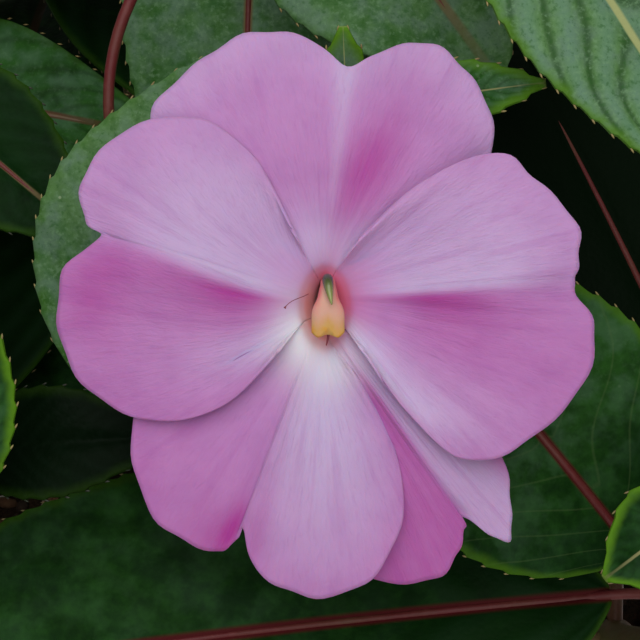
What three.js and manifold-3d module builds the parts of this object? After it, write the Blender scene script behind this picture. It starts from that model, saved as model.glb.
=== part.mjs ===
// A New Guinea impatiens in bloom, growing from potting soil in a plain clay pot.
// Millimetres, +Z up, origin at the centre of the pot's foot, main bloom facing -Y and up.
import * as THREE from "three";
import { mergeVertices } from "three/addons/utils/BufferGeometryUtils.js";
import Module from "manifold-3d";

const wasm = await Module();
wasm.setup();

// Driving dimensions of the pot and the soil
const POT_HEIGHT = 118;
const POT_FOOT_RADIUS = 49;
const POT_RIM_RADIUS = 73;
const POT_COLLAR_HEIGHT = 24;
const POT_COLLAR_STEP = 3.5;
const POT_WALL = 5;
const POT_FLOOR = 7;
const POT_SIDES = 22;
const DRAIN_RADIUS = 5;
const DRAIN_RING = 26;
const DRAIN_HOLES = 3;
const HOLE_SIDES = 8;
const SEAT_GAP = 0.3;
const SOIL_TOP = 106;
const SOIL_RELIEF = 1.3;
const SOIL_SHOULDER = 6;
const SOIL_RINGS = [1, 0.6, 0];
const HOLE_DEPTH = 22;
const HOLE_CLEARANCE = 0.5;

// Driving dimensions of the stems and leaves
const STEM_FOOT_RADIUS = 4.6;
const STEM_TIP_RADIUS = 2.1;
const STEM_SIDES = 6;
const STEM_STEPS = 6;
const STEM_RISE = 3;
const PETIOLE_RADIUS = 1.1;
const BLADE_THICKNESS = 0.75;
const MIDRIB_THICKNESS = 1.6;
const BLADE_START = 0.015;
const BLADE_WIDEST = 0.42;
const TOOTH_HEIGHT = 1.1;
const TOOTH_PLACE = 0.8;

// Room kept between leaves of different shoots, between whorls of one shoot, and round all else
const LEAF_CLEARANCE = 3.6;
const OWN_CLEARANCE = 2.4;
const STEM_REACH = 3.4;
const SPUR_REACH = 1.6;
const BUD_SPUR_REACH = 1.2;
const POT_MARGIN = 4;
const BLOOM_DRUM = { radius: 37, low: -10, high: 6 };
const BUD_DRUM = { radius: 8, low: -12, high: 11 };
const VIEW = { half: 40, spread: 0.13, depth: 46 };

// Driving dimensions of the blooms and buds
const BLOOM_CENTRE = [0, -60, 244];
const BLOOM_RISE = 55;
const PETAL_THICKNESS = 0.7;
const THROAT = { x: 2.9, y: 4.6, centre: -0.7 };
const CUP_DEPTH = 6;
const CUP_FLOOR = 4.6;
const STALK_RADIUS = 1.05;
const SEPAL_THICKNESS = 0.9;
const BUD_RADIUS = 4.3;
const BUD_NECK = 0.7;

const V = (x, y, z) => new THREE.Vector3(x, y, z);
const radians = THREE.MathUtils.degToRad;
const lerp = THREE.MathUtils.lerp;

// The same sequence of numbers from 0 to 1 on every run
function seeded(seed) {
  let state = seed >>> 0;
  return () => {
    state = (Math.imul(state, 1664525) + 1013904223) >>> 0;
    return state / 4294967296;
  };
}

// The direction at a turn about Z and a rise above the horizon, both in radians
function heading(turn, rise) {
  return V(Math.cos(turn) * Math.cos(rise), Math.sin(turn) * Math.cos(rise), Math.sin(rise));
}

// A bloom's own frame: x to its right, y up its face, z out of its face
function faceFrame({ centre, turn, rise, roll }) {
  const out = heading(radians(turn - 90), radians(rise));
  const right = heading(radians(turn), 0).applyAxisAngle(out, radians(roll));
  const up = out.clone().cross(right);
  return new THREE.Matrix4().makeBasis(right, up, out).setPosition(...centre);
}

const MAIN = faceFrame({ centre: BLOOM_CENTRE, turn: 0, rise: BLOOM_RISE, roll: 0 });
const MAIN_INVERSE = MAIN.clone().invert();

// A point given on the main bloom's face: right, up and depth behind it
const onFace = (x, y, depth) => V(x, y, -depth).applyMatrix4(MAIN);

// Where each shoot stands in the soil, the point that it leans through and its growing tip.
// turn is the direction of its first leaf, in degrees about Z.
const SHOOTS = {
  front: { foot: [2, -16], lean: [2, -42, 186], tip: onFace(3, 20, 14).toArray(), turn: 250 },
  right_front: { foot: [27, -30], lean: [52, -64, 140], tip: [60, -80, 208], turn: 300 },
  left_front: { foot: [-27, -28], lean: [-54, -52, 143], tip: [-60, -62, 218], turn: 200 },
  centre: { foot: [2, 8], lean: [2, 10, 172], tip: [6, 12, 272], turn: 30 },
  left: { foot: [-36, 6], lean: [-78, 10, 140], tip: [-92, 14, 208], turn: 170 },
  right: { foot: [36, 4], lean: [80, 6, 138], tip: [94, 8, 204], turn: 10 },
  left_back: { foot: [-20, 36], lean: [-46, 72, 145], tip: [-52, 84, 220], turn: 110 },
  right_back: { foot: [20, 36], lean: [46, 74, 148], tip: [50, 88, 224], turn: 60 },
};

// Leaves seen behind the main bloom, given on its face: where on their shoot, base and tip, the
// sideways and upward tilt of the blade, and its width
const FACE_LEAVES = [
  { shoot: "right_front", at: 0.8, base: [38, -38.5, 32], tip: [-78, -54, 38], tilt: [0, 0.35], width: 47 },
  { shoot: "right_front", at: 0.88, base: [40, -32.5, 24], tip: [7, 6.5, 17], tilt: [0.1, 0.1], width: 36 },
  { shoot: "right_front", at: 0.95, base: [47, -25, 12], tip: [34, -34, 8], tilt: [0.1, 0.2], width: 13 },
  { shoot: "right_front", at: 0.72, base: [48, -8, 44], tip: [25.5, 36, 42], tilt: [0, 0.2], width: 36 },
  { shoot: "front", at: 0.8, base: [-28, -13, 20], tip: [-8, 33.5, 20], tilt: [-0.2, 0], width: 33 },
  { shoot: "left_front", at: 0.95, base: [-50, -28, 13], tip: [-44, 5, 9], tilt: [-0.1, 0.1], width: 20 },
  { shoot: "left_front", at: 0.9, base: [-47, -19, 21], tip: [-19, -17, 16], tilt: [0, 0.2], width: 14 },
  { shoot: "left", at: 0.9, base: [-60, 32, 40], tip: [-31, 8, 36], tilt: [0, 0.2], width: 20 },
  { shoot: "centre", at: 0.93, base: [17, 63, 12], tip: [50, 9.5, 3], tilt: [0.1, 0.25], width: 27 },
  { shoot: "centre", at: 0.84, base: [-6, 66, 30], tip: [23, 27.5, 27], tilt: [0.15, 0.1], width: 36 },
  { shoot: "centre", at: 0.86, base: [-9, 66, 38], tip: [-11, 2, 42], tilt: [-0.1, 0.1], width: 33 },
  { shoot: "centre", at: 0.95, base: [-28, 24, 28], tip: [-25, -14, 29], tilt: [0, 0], width: 14 },
  { shoot: "front", at: 0.985, base: [7, 24, 12], tip: [27, 26.5, 8.5], tilt: [0, 0.2], width: 8 },
  { shoot: "front", at: 0.985, base: [2.6, 25, 12], tip: [2.2, 33.5, 8.5], tilt: [0, -0.2], width: 5 },
];
const FACE_LEAF = { arch: 0.05, fold: 0.1, wave: 0.02, phase: 0.2 };
const FACE_TEETH = { wide: 6, narrow: 3, limit: 21 };

// Whorls by rule, from the tip down: place on the shoot, leaves, length, width, rise and petiole
const WHORLS = [
  { at: 0.985, leaves: 2, length: 30, width: 12, rise: 52, petiole: 3, teeth: 2 },
  { at: 0.91, leaves: 3, length: 60, width: 26, rise: 24, petiole: 8, teeth: 3 },
  { at: 0.78, leaves: 3, length: 82, width: 36, rise: 6, petiole: 13, teeth: 4 },
  { at: 0.58, leaves: 4, length: 92, width: 40, rise: -8, petiole: 20, teeth: 4 },
];
const WHORL_LEAF = { arch: 0.1, fold: 0.12, wave: 0.04 };
const WHORL_TWIST = 0.5;
const STALK_LIFT = 0.35;
const WHORL_CHANCE = { seed: 41, turn: 24, rise: 14, smallest: 0.86, spread: 0.26 };
const GOLDEN_TURN = 137.5;

// Turns and rises that a leaf tries, in order, until its blade is clear of what grows round it
const TRIES = [0, 12, -12, 24, -24, 36, -36]
  .flatMap((turn) => [0, 14, 28, -12].map((rise) => ({ turn, rise })))
  .sort((a, b) => Math.abs(a.turn) + Math.abs(a.rise) - Math.abs(b.turn) - Math.abs(b.rise));

// Faces along and across a petal, of the main bloom and of the others
const MAIN_GRID = { columns: 10, rows: 3 };
const SIDE_GRID = { columns: 6, rows: 2 };

// Blooms: the main one, then the others, with their place on a shoot and the way they face
const BLOOMS = [
  { shoot: "front", at: 0.84, centre: BLOOM_CENTRE, turn: 0, rise: BLOOM_RISE, roll: 0, grid: MAIN_GRID },
  { shoot: "right", at: 0.9, centre: [118, -24, 210], turn: 68, rise: 42, roll: 12, grid: SIDE_GRID },
  { shoot: "left", at: 0.9, centre: [-116, -16, 216], turn: -64, rise: 46, roll: -14, grid: SIDE_GRID },
  { shoot: "right_back", at: 0.84, centre: [62, 118, 228], turn: 152, rise: 44, roll: 8, grid: SIDE_GRID },
  { shoot: "left_back", at: 0.9, centre: [-50, 112, 240], turn: 198, rise: 52, roll: -8, grid: SIDE_GRID },
  { shoot: "centre", at: 0.92, centre: [-12, 52, 290], turn: 190, rise: 72, roll: 20, grid: SIDE_GRID },
];

// Buds on short stalks near the growing tips
const BUDS = [
  { shoot: "left_front", at: 0.93, centre: [-78, -86, 226], turn: -30, rise: 62, roll: 0 },
  { shoot: "centre", at: 0.95, centre: [34, 34, 290], turn: 130, rise: 74, roll: 0 },
  { shoot: "right", at: 0.95, centre: [106, 34, 232], turn: 110, rise: 66, roll: 0 },
  { shoot: "left", at: 0.95, centre: [-104, 44, 236], turn: -110, rise: 66, roll: 0 },
];

// Petals: margin points from one side of the throat round to the other, notch in the middle, with
// the ring angles that the petal springs from, and how its face is modelled
const PETALS = {
  standard: {
    springs: [117, 63], layer: -2.6, ridge: 0.5, slant: 0, swell: 1.6,
    margin: [[-10.7, 11.9], [-19.3, 17.6], [-20.6, 22.8], [-15.4, 28.7], [-8.9, 32], [-2.2, 31.7],
      [2.6, 27.9], [7.2, 30.2], [12.9, 30.6], [17.6, 27], [20.1, 20.5], [18.4, 13], [11.3, 7.7]],
  },
  left: {
    springs: [116, 206], layer: 1.4, ridge: 2.1, slant: 1, swell: 0.4,
    margin: [[-4.6, 9.6], [-8.6, 17], [-15.4, 21.8], [-23.7, 20.1], [-28.9, 14.9], [-28.4, 9.4],
      [-26.9, 7.4], [-31, 3.6], [-32, -3.6], [-28.2, -10.6], [-21.2, -14.4], [-12.4, -12.7], [-6.2, -6.8]],
  },
  right: {
    springs: [64, -36], layer: 1.6, ridge: 2.1, slant: 1, swell: 0.4,
    margin: [[4.4, 7.6], [11.9, 14.2], [20.4, 17.4], [25.4, 14.2], [30, 8.6], [30.2, 4],
      [29.5, 1.4], [32.3, -3.2], [30.2, -10.7], [23.7, -17.2], [16.2, -18.8], [9.6, -13.2], [4.8, -6.4]],
  },
  lower_left: {
    springs: [204, 284], layer: -0.9, ridge: 0.9, slant: -0.4, swell: 0.2,
    margin: [[-11.3, -7.6], [-21.4, -11.6], [-23.2, -18.4], [-19.8, -26.7], [-14, -30.2], [-10.9, -29],
      [-9.8, -27.6], [-7.9, -32.6], [-2, -35.7], [5.6, -33.2], [9.3, -26], [7.9, -16.8], [3.6, -9]],
  },
  lower_right: {
    springs: [280, 322], layer: -3.3, ridge: 1.8, slant: -0.8, swell: 0.2,
    margin: [[2.6, -14], [2.4, -26.5], [5.3, -33.4], [12.4, -34], [15.9, -30.6], [16.9, -27.4],
      [16.6, -25.9], [19.6, -28.1], [22.3, -28.7], [22.4, -24.4], [20.9, -18.2], [15, -11.2], [7.4, -5.6]],
  },
};

// Solids

// A closed geometry as a solid
function solidOf(geometry) {
  const g = geometry.clone();
  g.deleteAttribute("normal");
  g.deleteAttribute("uv");
  const merged = mergeVertices(g, 1e-3);
  return new wasm.Manifold(
    new wasm.Mesh({
      numProp: 3,
      vertProperties: merged.attributes.position.array,
      triVerts: new Uint32Array(merged.index.array),
    }),
  );
}

function join(solids) {
  return solids.reduce((whole, piece) => whole.add(piece));
}

function meshOf(name, solid, material) {
  const made = solid.getMesh();
  const g = new THREE.BufferGeometry();
  const positions = new Float32Array(made.numVert * 3);
  for (let i = 0; i < made.numVert; i++) {
    const start = i * made.numProp;
    positions.set(made.vertProperties.subarray(start, start + 3), i * 3);
  }
  g.setAttribute("position", new THREE.BufferAttribute(positions, 3));
  g.setIndex(new THREE.BufferAttribute(made.triVerts, 1));
  g.computeVertexNormals();
  const mesh = new THREE.Mesh(g, material);
  mesh.name = name;
  return mesh;
}

// A turned shape about the Z axis from a profile of radius and height. shift moves its points in height.
function upright(profile, sides, shift = (x, y, z) => z) {
  const g = new THREE.LatheGeometry(profile.map(([r, z]) => new THREE.Vector2(r, z)), sides);
  g.rotateX(Math.PI / 2);
  const p = g.attributes.position;
  for (let i = 0; i < p.count; i++) p.setZ(i, shift(p.getX(i), p.getY(i), p.getZ(i)));
  return g;
}

// The solid that cuts a round hole at x, y, from a depth below the height to as far above it
function well(x, y, radius, height, depth) {
  const g = new THREE.CylinderGeometry(radius, radius, depth * 2, HOLE_SIDES);
  g.rotateX(Math.PI / 2);
  g.translate(x, y, height);
  return solidOf(g);
}

// A direction square to the plane that a curve bends in, so that it never runs along it
function sidewaysOf(curve) {
  const chord = curve.getPoint(1).sub(curve.getPoint(0));
  const across = curve.getPoint(0.5).sub(curve.getPoint(0)).cross(chord);
  if (across.length() > 1e-3 * chord.lengthSq()) return across.normalize();
  return chord.cross(Math.abs(chord.z) > chord.length() / 2 ? V(0, 1, 0) : V(0, 0, 1)).normalize();
}

// A cylinder bent along a curve. wideAt and deepAt give its two half-widths at 0 to 1 along it.
function tube(curve, sides, steps, wideAt, deepAt = wideAt) {
  const g = new THREE.CylinderGeometry(1, 1, 1, sides, steps);
  const sideways = sidewaysOf(curve);
  const p = g.attributes.position;
  for (let i = 0; i < p.count; i++) {
    const t = Math.round((p.getY(i) + 0.5) * steps) / steps;
    const ahead = curve.getTangent(t);
    const across = sideways.clone().addScaledVector(ahead, -sideways.dot(ahead)).normalize();
    const at = curve.getPoint(t);
    at.addScaledVector(across, p.getX(i) * wideAt(t));
    at.addScaledVector(across.cross(ahead), p.getZ(i) * deepAt(t));
    p.setXYZ(i, at.x, at.y, at.z);
  }
  return solidOf(g);
}

const edgesOf = ([a, b, c]) => [[a, b], [b, c], [c, a]];

// The unit normal at each point of a surface of triangles
function normalsOf(points, triangles) {
  const normals = points.map(() => V(0, 0, 0));
  for (const [a, b, c] of triangles) {
    const n = points[b].clone().sub(points[a]).cross(points[c].clone().sub(points[a]));
    for (const k of [a, b, c]) normals[k].add(n);
  }
  return normals.map((n) => n.normalize());
}

// A thin closed sheet around a surface of points and triangles, alike on both faces.
// thickness is given for each point.
function sheet(points, triangles, thickness) {
  const normals = normalsOf(points, triangles);
  const edges = new Set(triangles.flatMap(edgesOf).map(([p, q]) => p + "_" + q));
  const count = points.length;
  const faces = [];
  for (const triangle of triangles) {
    const [a, b, c] = triangle;
    faces.push(a, b, c, a + count, c + count, b + count);
    for (const [p, q] of edgesOf(triangle)) {
      if (!edges.has(q + "_" + p)) faces.push(p, p + count, q + count, p, q + count, q);
    }
  }
  const shifted = (side) => points.flatMap((p, k) => (
    p.clone().addScaledVector(normals[k], (side * thickness[k]) / 2).toArray()));
  const g = new THREE.BufferGeometry();
  g.setAttribute("position", new THREE.Float32BufferAttribute([...shifted(1), ...shifted(-1)], 3));
  g.setIndex(faces);
  return solidOf(g);
}

// A cubic curve given in a frame
function curveIn(frame, ...points) {
  return new THREE.CubicBezierCurve3(...points.map(([x, y, z]) => V(x, y, z).applyMatrix4(frame)));
}

// Pot and soil

const wallRadius = (z) => lerp(POT_FOOT_RADIUS, POT_RIM_RADIUS - POT_COLLAR_STEP, z / POT_HEIGHT);
const innerRadius = (z) => wallRadius(z) - POT_WALL;

function potSolid() {
  const collar = POT_HEIGHT - POT_COLLAR_HEIGHT;
  const profile = [
    [0, 0],
    [POT_FOOT_RADIUS, 0],
    [wallRadius(collar), collar],
    [wallRadius(collar) + POT_COLLAR_STEP - 0.5, collar + 1],
    [POT_RIM_RADIUS, POT_HEIGHT - 2],
    [POT_RIM_RADIUS - 1.5, POT_HEIGHT],
    [innerRadius(POT_HEIGHT) + 1, POT_HEIGHT],
    [innerRadius(POT_HEIGHT - 2), POT_HEIGHT - 2],
    [innerRadius(POT_FLOOR), POT_FLOOR],
    [0, POT_FLOOR],
  ];
  let pot = solidOf(upright(profile, POT_SIDES));
  for (let k = 0; k < DRAIN_HOLES; k++) {
    const { x, y } = heading(radians(90 + (360 / DRAIN_HOLES) * k), 0).multiplyScalar(DRAIN_RING);
    pot = pot.subtract(well(x, y, DRAIN_RADIUS, 0, POT_FLOOR * 2));
  }
  return pot;
}

function soilHeight(x, y) {
  const coarse = Math.sin(x * 0.16 + 1.1) * Math.cos(y * 0.14 - 0.4);
  const fine = Math.sin(x * 0.37 - y * 0.29) * 0.6;
  return SOIL_TOP + SOIL_RELIEF * (coarse + fine);
}

function soilSolid() {
  const foot = POT_FLOOR + SEAT_GAP;
  const shoulder = SOIL_TOP - SOIL_SHOULDER;
  const rim = innerRadius(shoulder) - SEAT_GAP;
  const profile = [
    [0, foot],
    [innerRadius(foot) - SEAT_GAP, foot],
    [rim, shoulder],
    ...SOIL_RINGS.map((share) => [rim * share, SOIL_TOP]),
  ];
  const crumbly = (x, y, z) => (z > shoulder + 1 ? soilHeight(x, y) : z);
  let soil = solidOf(upright(profile, POT_SIDES, crumbly));
  for (const { foot: [x, y] } of Object.values(SHOOTS)) {
    soil = soil.subtract(well(x, y, STEM_FOOT_RADIUS + HOLE_CLEARANCE, SOIL_TOP, HOLE_DEPTH));
  }
  return soil;
}

// Stems

// The line of a stem above the soil
function shootCurve({ foot, lean, tip }) {
  const [x, y] = foot;
  const ground = V(x, y, SOIL_TOP + STEM_RISE);
  const rising = V(x, y, lerp(SOIL_TOP, lean[2], 0.55));
  return new THREE.CubicBezierCurve3(ground, rising, V(...lean), V(...tip));
}

const CURVES = Object.fromEntries(
  Object.entries(SHOOTS).map(([name, shoot]) => [name, shootCurve(shoot)]),
);

const stemRadius = (t) => lerp(STEM_FOOT_RADIUS, STEM_TIP_RADIUS, Math.pow(t, 0.8));

// A stem with its straight foot in the soil
function stemSolid(name) {
  const ground = CURVES[name].getPoint(0);
  const bottom = ground.clone().setZ(SOIL_TOP - HOLE_DEPTH + SEAT_GAP);
  const foot = tube(new THREE.LineCurve3(bottom, ground), STEM_SIDES, 1, () => STEM_FOOT_RADIUS);
  return foot.add(tube(CURVES[name], STEM_SIDES, STEM_STEPS, stemRadius));
}

// Leaves: each has a petiole from its stem to the blade's base, and a blade from base to tip

// Half-width of a blade as a share of its widest, at 0 to 1 from base to tip
function bladeShape(s) {
  const outline = (t) => Math.pow(t, 0.75) * Math.pow(1 - t, 1.03);
  return outline(s) / outline(BLADE_WIDEST);
}

function bladeAxes(leaf) {
  const along = leaf.tip.clone().sub(leaf.base);
  const length = along.length();
  along.normalize();
  const side = along.clone().cross(leaf.face).normalize();
  const up = side.clone().cross(along);
  return { along, side, up, length };
}

// The point of a blade at s from base to tip and u from -1 to 1 across, reach mm outside its edge
function bladePoint(leaf, axes, s, u, reach = 0) {
  const half = (leaf.width / 2) * bladeShape(s) + reach;
  const arch = leaf.arch * axes.length * 4 * s * (1 - s);
  const lift = leaf.fold * Math.abs(u) * half;
  const turn = 2.2 * s + leaf.phase + (u > 0 ? 0.3 : 0);
  const wave = leaf.wave * leaf.width * Math.sin(2 * Math.PI * turn) * u * u * Math.min(1, 4 * s);
  return leaf.base.clone()
    .addScaledVector(axes.along, axes.length * s)
    .addScaledVector(axes.side, u * half)
    .addScaledVector(axes.up, arch + lift + wave);
}

function petioleCurve(leaf) {
  const start = CURVES[leaf.owner].getPoint(leaf.at);
  const axes = bladeAxes(leaf);
  const back = -0.45 * leaf.base.distanceTo(start);
  const middle = leaf.base.clone().addScaledVector(axes.along, back);
  return new THREE.QuadraticBezierCurve3(start, middle, bladePoint(leaf, axes, BLADE_START, 0));
}

// Two points across the petiole of a leaf, at 0 to 1 from its stem
function petiolePair(leaf, axes, t) {
  const curve = petioleCurve(leaf);
  const ahead = curve.getTangent(t);
  const side = axes.side.clone().addScaledVector(ahead, -axes.side.dot(ahead));
  const across = side.setLength(PETIOLE_RADIUS);
  const at = curve.getPoint(t);
  return [at.clone().sub(across), at.clone().add(across)];
}

// A leaf as one sheet: two pairs of petiole points, then rows of the blade with a tooth on each side
function leafSolid(leaf) {
  const axes = bladeAxes(leaf);
  const points = [];
  const thickness = [];
  const place = (thick, ...added) => {
    points.push(...added);
    thickness.push(...added.map(() => thick));
    return points.length - added.length;
  };
  const [a, b] = [0, 0.5].map((t) => place(2 * PETIOLE_RADIUS, ...petiolePair(leaf, axes, t)));
  const rowAt = (i) => lerp(BLADE_START, 1, i / leaf.teeth);
  const rows = Array.from({ length: leaf.teeth }, (_, i) => {
    const across = [-1, 0, 1].map((u) => bladePoint(leaf, axes, rowAt(i), u));
    const first = place(BLADE_THICKNESS, ...across);
    thickness[first + 1] = lerp(MIDRIB_THICKNESS, BLADE_THICKNESS, i / leaf.teeth);
    return first;
  });
  const end = place(BLADE_THICKNESS, leaf.tip.clone());
  const [l, m, r] = [rows[0], rows[0] + 1, rows[0] + 2];
  const triangles = [[a, a + 1, b], [a + 1, b + 1, b], [b, b + 1, m], [b + 1, r, m], [b, m, l]];
  rows.forEach((l0, i) => {
    const [m0, r0] = [l0 + 1, l0 + 2];
    const teeth = [-1, 1].map((u) => bladePoint(leaf, axes, rowAt(i + TOOTH_PLACE), u, TOOTH_HEIGHT));
    const left = place(BLADE_THICKNESS, ...teeth);
    const right = left + 1;
    if (i === rows.length - 1) {
      triangles.push([m0, r0, end], [r0, right, end], [m0, end, l0], [l0, end, left]);
      return;
    }
    const [l1, m1, r1] = [rows[i + 1], rows[i + 1] + 1, rows[i + 1] + 2];
    triangles.push([m0, r0, m1], [r0, r1, m1], [r0, right, r1]);
    triangles.push([m0, m1, l0], [l0, m1, l1], [l0, l1, left]);
  });
  return sheet(points, triangles, thickness);
}

function faceLeaf({ shoot, at, base, tip, tilt, width }) {
  return {
    ...FACE_LEAF,
    owner: shoot,
    at,
    base: onFace(...base),
    tip: onFace(...tip),
    face: V(...tilt, 1).transformDirection(MAIN),
    width,
    teeth: width > FACE_TEETH.limit ? FACE_TEETH.wide : FACE_TEETH.narrow,
  };
}

function whorlLeaf(owner, whorl, turn, rise, scale, phase) {
  const a = radians(turn);
  const e = radians(rise);
  const along = heading(a, e);
  const reach = stemRadius(whorl.at) + whorl.petiole * scale;
  const base = CURVES[owner].getPoint(whorl.at).addScaledVector(heading(a, e + STALK_LIFT), reach);
  const side = V(Math.sin(a), -Math.cos(a), 0);
  return {
    ...WHORL_LEAF,
    owner,
    at: whorl.at,
    base,
    tip: base.clone().addScaledVector(along, whorl.length * scale),
    face: side.clone().cross(along).addScaledVector(side, (phase - 0.5) * WHORL_TWIST),
    width: whorl.width * scale,
    teeth: whorl.teeth,
    phase,
  };
}

// Room for each leaf: every blade, stem and stalk is also a cloud of points

function cloud(points, reach, owner, at) {
  const box = new THREE.Box3().setFromPoints(points).expandByScalar(reach + LEAF_CLEARANCE);
  return { points, reach, owner, at, box };
}

function bladeCloud(leaf) {
  const axes = bladeAxes(leaf);
  const points = [];
  for (let i = 0; i <= 14; i++) {
    for (let k = -3; k <= 3; k++) {
      points.push(bladePoint(leaf, axes, lerp(0.05, 1, i / 14), k / 3));
    }
  }
  return cloud(points, 0, leaf.owner, leaf.at);
}

function curveCloud(curve, from, to, reach, owner, at) {
  const points = [];
  for (let i = 0; i <= 24; i++) points.push(curve.getPoint(lerp(from, to, i / 24)));
  return cloud(points, reach, owner, at);
}

function petioleCloud(leaf) {
  return curveCloud(petioleCurve(leaf), 0.3, 0.9, PETIOLE_RADIUS, leaf.owner, leaf.at);
}

// Whether two clouds come closer than they may. Leaves of one whorl, and a stem and its own, may touch.
function tooClose(one, two) {
  const kin = one.owner === two.owner;
  if (kin && (two.at === one.at || two.at === "stem")) return false;
  if (!one.box.intersectsBox(two.box)) return false;
  const clearance = (kin ? OWN_CLEARANCE : LEAF_CLEARANCE) + one.reach + two.reach;
  return one.points.some((p) => two.points.some((q) => p.distanceTo(q) < clearance));
}

// Whether a point hides the leaves that frame the main bloom, with a margin round the view
function inClearView(point) {
  const f = point.clone().applyMatrix4(MAIN_INVERSE);
  const half = VIEW.half - f.z * VIEW.spread;
  return Math.abs(f.x) < half && Math.abs(f.y) < half && f.z > -VIEW.depth;
}

function inPot({ x, y, z }) {
  if (z < POT_MARGIN) return true;
  return z < POT_HEIGHT + POT_MARGIN && Math.hypot(x, y) < POT_RIM_RADIUS + POT_MARGIN;
}

const HEADS = [...BLOOMS, ...BUDS].map((head) => {
  const drum = BLOOMS.includes(head) ? BLOOM_DRUM : BUD_DRUM;
  return { ...drum, inverse: faceFrame(head).invert() };
});

// Whether a point is in the drum that a bloom or bud fills
function inHead(point, head) {
  const f = point.clone().applyMatrix4(head.inverse);
  return Math.hypot(f.x, f.y) < head.radius && f.z > head.low && f.z < head.high;
}

function isClear(leaf, placed) {
  const blade = bladeCloud(leaf);
  const taken = (p) => inPot(p) || inClearView(p) || HEADS.some((head) => inHead(p, head));
  if (blade.points.some(taken)) return false;
  const stalk = petioleCloud(leaf);
  return !placed.some((other) => tooClose(blade, other) || tooClose(stalk, other));
}

// The clouds of all that stands before the rule-made leaves
function firstClouds(framing) {
  const headCloud = (curve, from, reach) => curveCloud(curve, from, 1, reach, "head");
  return [
    ...Object.entries(CURVES).map(([name, curve]) => curveCloud(curve, 0, 1, STEM_REACH, name, "stem")),
    ...[...BLOOMS, ...BUDS].map((head) => headCloud(stalkCurve(head), 0.05, STALK_RADIUS)),
    ...BLOOMS.map((bloom) => headCloud(spurCurve(faceFrame(bloom)), 0, SPUR_REACH)),
    ...BUDS.map((bud) => headCloud(budSpurCurve(faceFrame(bud)), 0, BUD_SPUR_REACH)),
    ...framing.flatMap((leaf) => [bladeCloud(leaf), petioleCloud(leaf)]),
  ];
}

// Places every leaf: the framing ones as given, then each shoot's whorls from the tip down
function growLeaves() {
  const leaves = FACE_LEAVES.map(faceLeaf);
  const placed = firstClouds(leaves);
  const random = seeded(WHORL_CHANCE.seed);
  WHORLS.forEach((whorl, level) => {
    for (const [owner, { turn }] of Object.entries(SHOOTS)) {
      for (let k = 0; k < whorl.leaves; k++) {
        const even = turn + (360 / whorl.leaves) * k + GOLDEN_TURN * level;
        const around = even + (random() - 0.5) * WHORL_CHANCE.turn;
        const rise = whorl.rise + (random() - 0.5) * WHORL_CHANCE.rise;
        const scale = WHORL_CHANCE.smallest + random() * WHORL_CHANCE.spread;
        const phase = random();
        const found = TRIES
          .map((t) => whorlLeaf(owner, whorl, around + t.turn, rise + t.rise, scale, phase))
          .find((leaf) => isClear(leaf, placed));
        if (!found) continue;
        leaves.push(found);
        placed.push(bladeCloud(found), petioleCloud(found));
      }
    }
  });
  return leaves;
}

// Blooms

// The point of a petal at s from -1 to 1 round its margin and t from 0 at the throat to 1
function petalPoint(petal, spline, s, t) {
  const ring = radians(lerp(petal.springs[0], petal.springs[1], (s + 1) / 2));
  const rootX = 0.93 * THROAT.x * Math.cos(ring);
  const rootY = THROAT.centre + 0.93 * THROAT.y * Math.sin(ring);
  const edge = spline.getPoint((s + 1) / 2);
  const x = lerp(rootX, edge.x, t);
  const y = lerp(rootY, edge.y, t);
  const out = Math.sin((Math.PI / 2) * Math.min(1, t * 1.6));
  const flank = petal.slant * s > 0 ? 0.16 : 0.5;
  const ridge = petal.ridge * Math.exp(-Math.abs(s) / flank) * Math.sin(Math.PI * Math.min(t, 0.94));
  const swell = petal.swell * Math.sin(Math.PI * t);
  const foot = -1.2 + 0.32 * petal.layer;
  const z = lerp(foot, petal.layer, out) + ridge + swell - 0.0022 * (x * x + y * y);
  return V(x, y, z);
}

function petalSolid(petal, { columns, rows }) {
  const spline = new THREE.SplineCurve(petal.margin.map(([x, y]) => new THREE.Vector2(x, y)));
  const points = [];
  for (let j = 0; j <= rows; j++) {
    for (let i = 0; i <= columns; i++) {
      points.push(petalPoint(petal, spline, lerp(-1, 1, i / columns), j / rows));
    }
  }
  const triangles = [];
  for (let j = 0; j < rows; j++) {
    for (let i = 0; i < columns; i++) {
      const a = j * (columns + 1) + i;
      const c = a + columns + 1;
      triangles.push([a, a + 1, c], [a + 1, c + 1, c]);
    }
  }
  const turned = petal.springs[0] < petal.springs[1];
  const facing = turned ? triangles.map(([a, b, c]) => [a, c, b]) : triangles;
  return sheet(points, facing, points.map(() => PETAL_THICKNESS));
}

// The cup that the petals spring from, open to the front
function cupSolid(sides) {
  const profile = [
    [0, -CUP_DEPTH],
    [0.62, -CUP_DEPTH],
    [1.18, -0.2],
    [0.86, 0.1],
    [0.66, -CUP_FLOOR],
    [0, -CUP_FLOOR],
  ];
  const g = upright(profile, sides);
  g.scale(THROAT.x, THROAT.y, 1);
  g.translate(0, THROAT.centre, 0);
  return solidOf(g);
}

function petalsSolid({ grid }) {
  const petals = Object.values(PETALS).map((petal) => petalSolid(petal, grid));
  return join([cupSolid(grid.columns), ...petals]);
}

// The hooded column of fused anthers, rising from the cup's floor and leaning over its lower lip
function columnSolid() {
  const foot = V(0, 0.9, SEAT_GAP - CUP_FLOOR);
  const curve = new THREE.QuadraticBezierCurve3(foot, V(0, 1.9, 1.2), V(0, -4.1, 1.3));
  return tube(curve, 6, 4, (t) => lerp(1.1, 0.75, t), (t) => lerp(1.1, 2, t));
}

// The tapering nectar spur that hangs behind a bloom
function spurCurve(frame) {
  const foot = [0, THROAT.centre, -CUP_DEPTH - SEAT_GAP];
  return curveIn(frame, foot, [0, THROAT.centre, -14], [0, -17, -20], [-3, -34, -12]);
}

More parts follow.
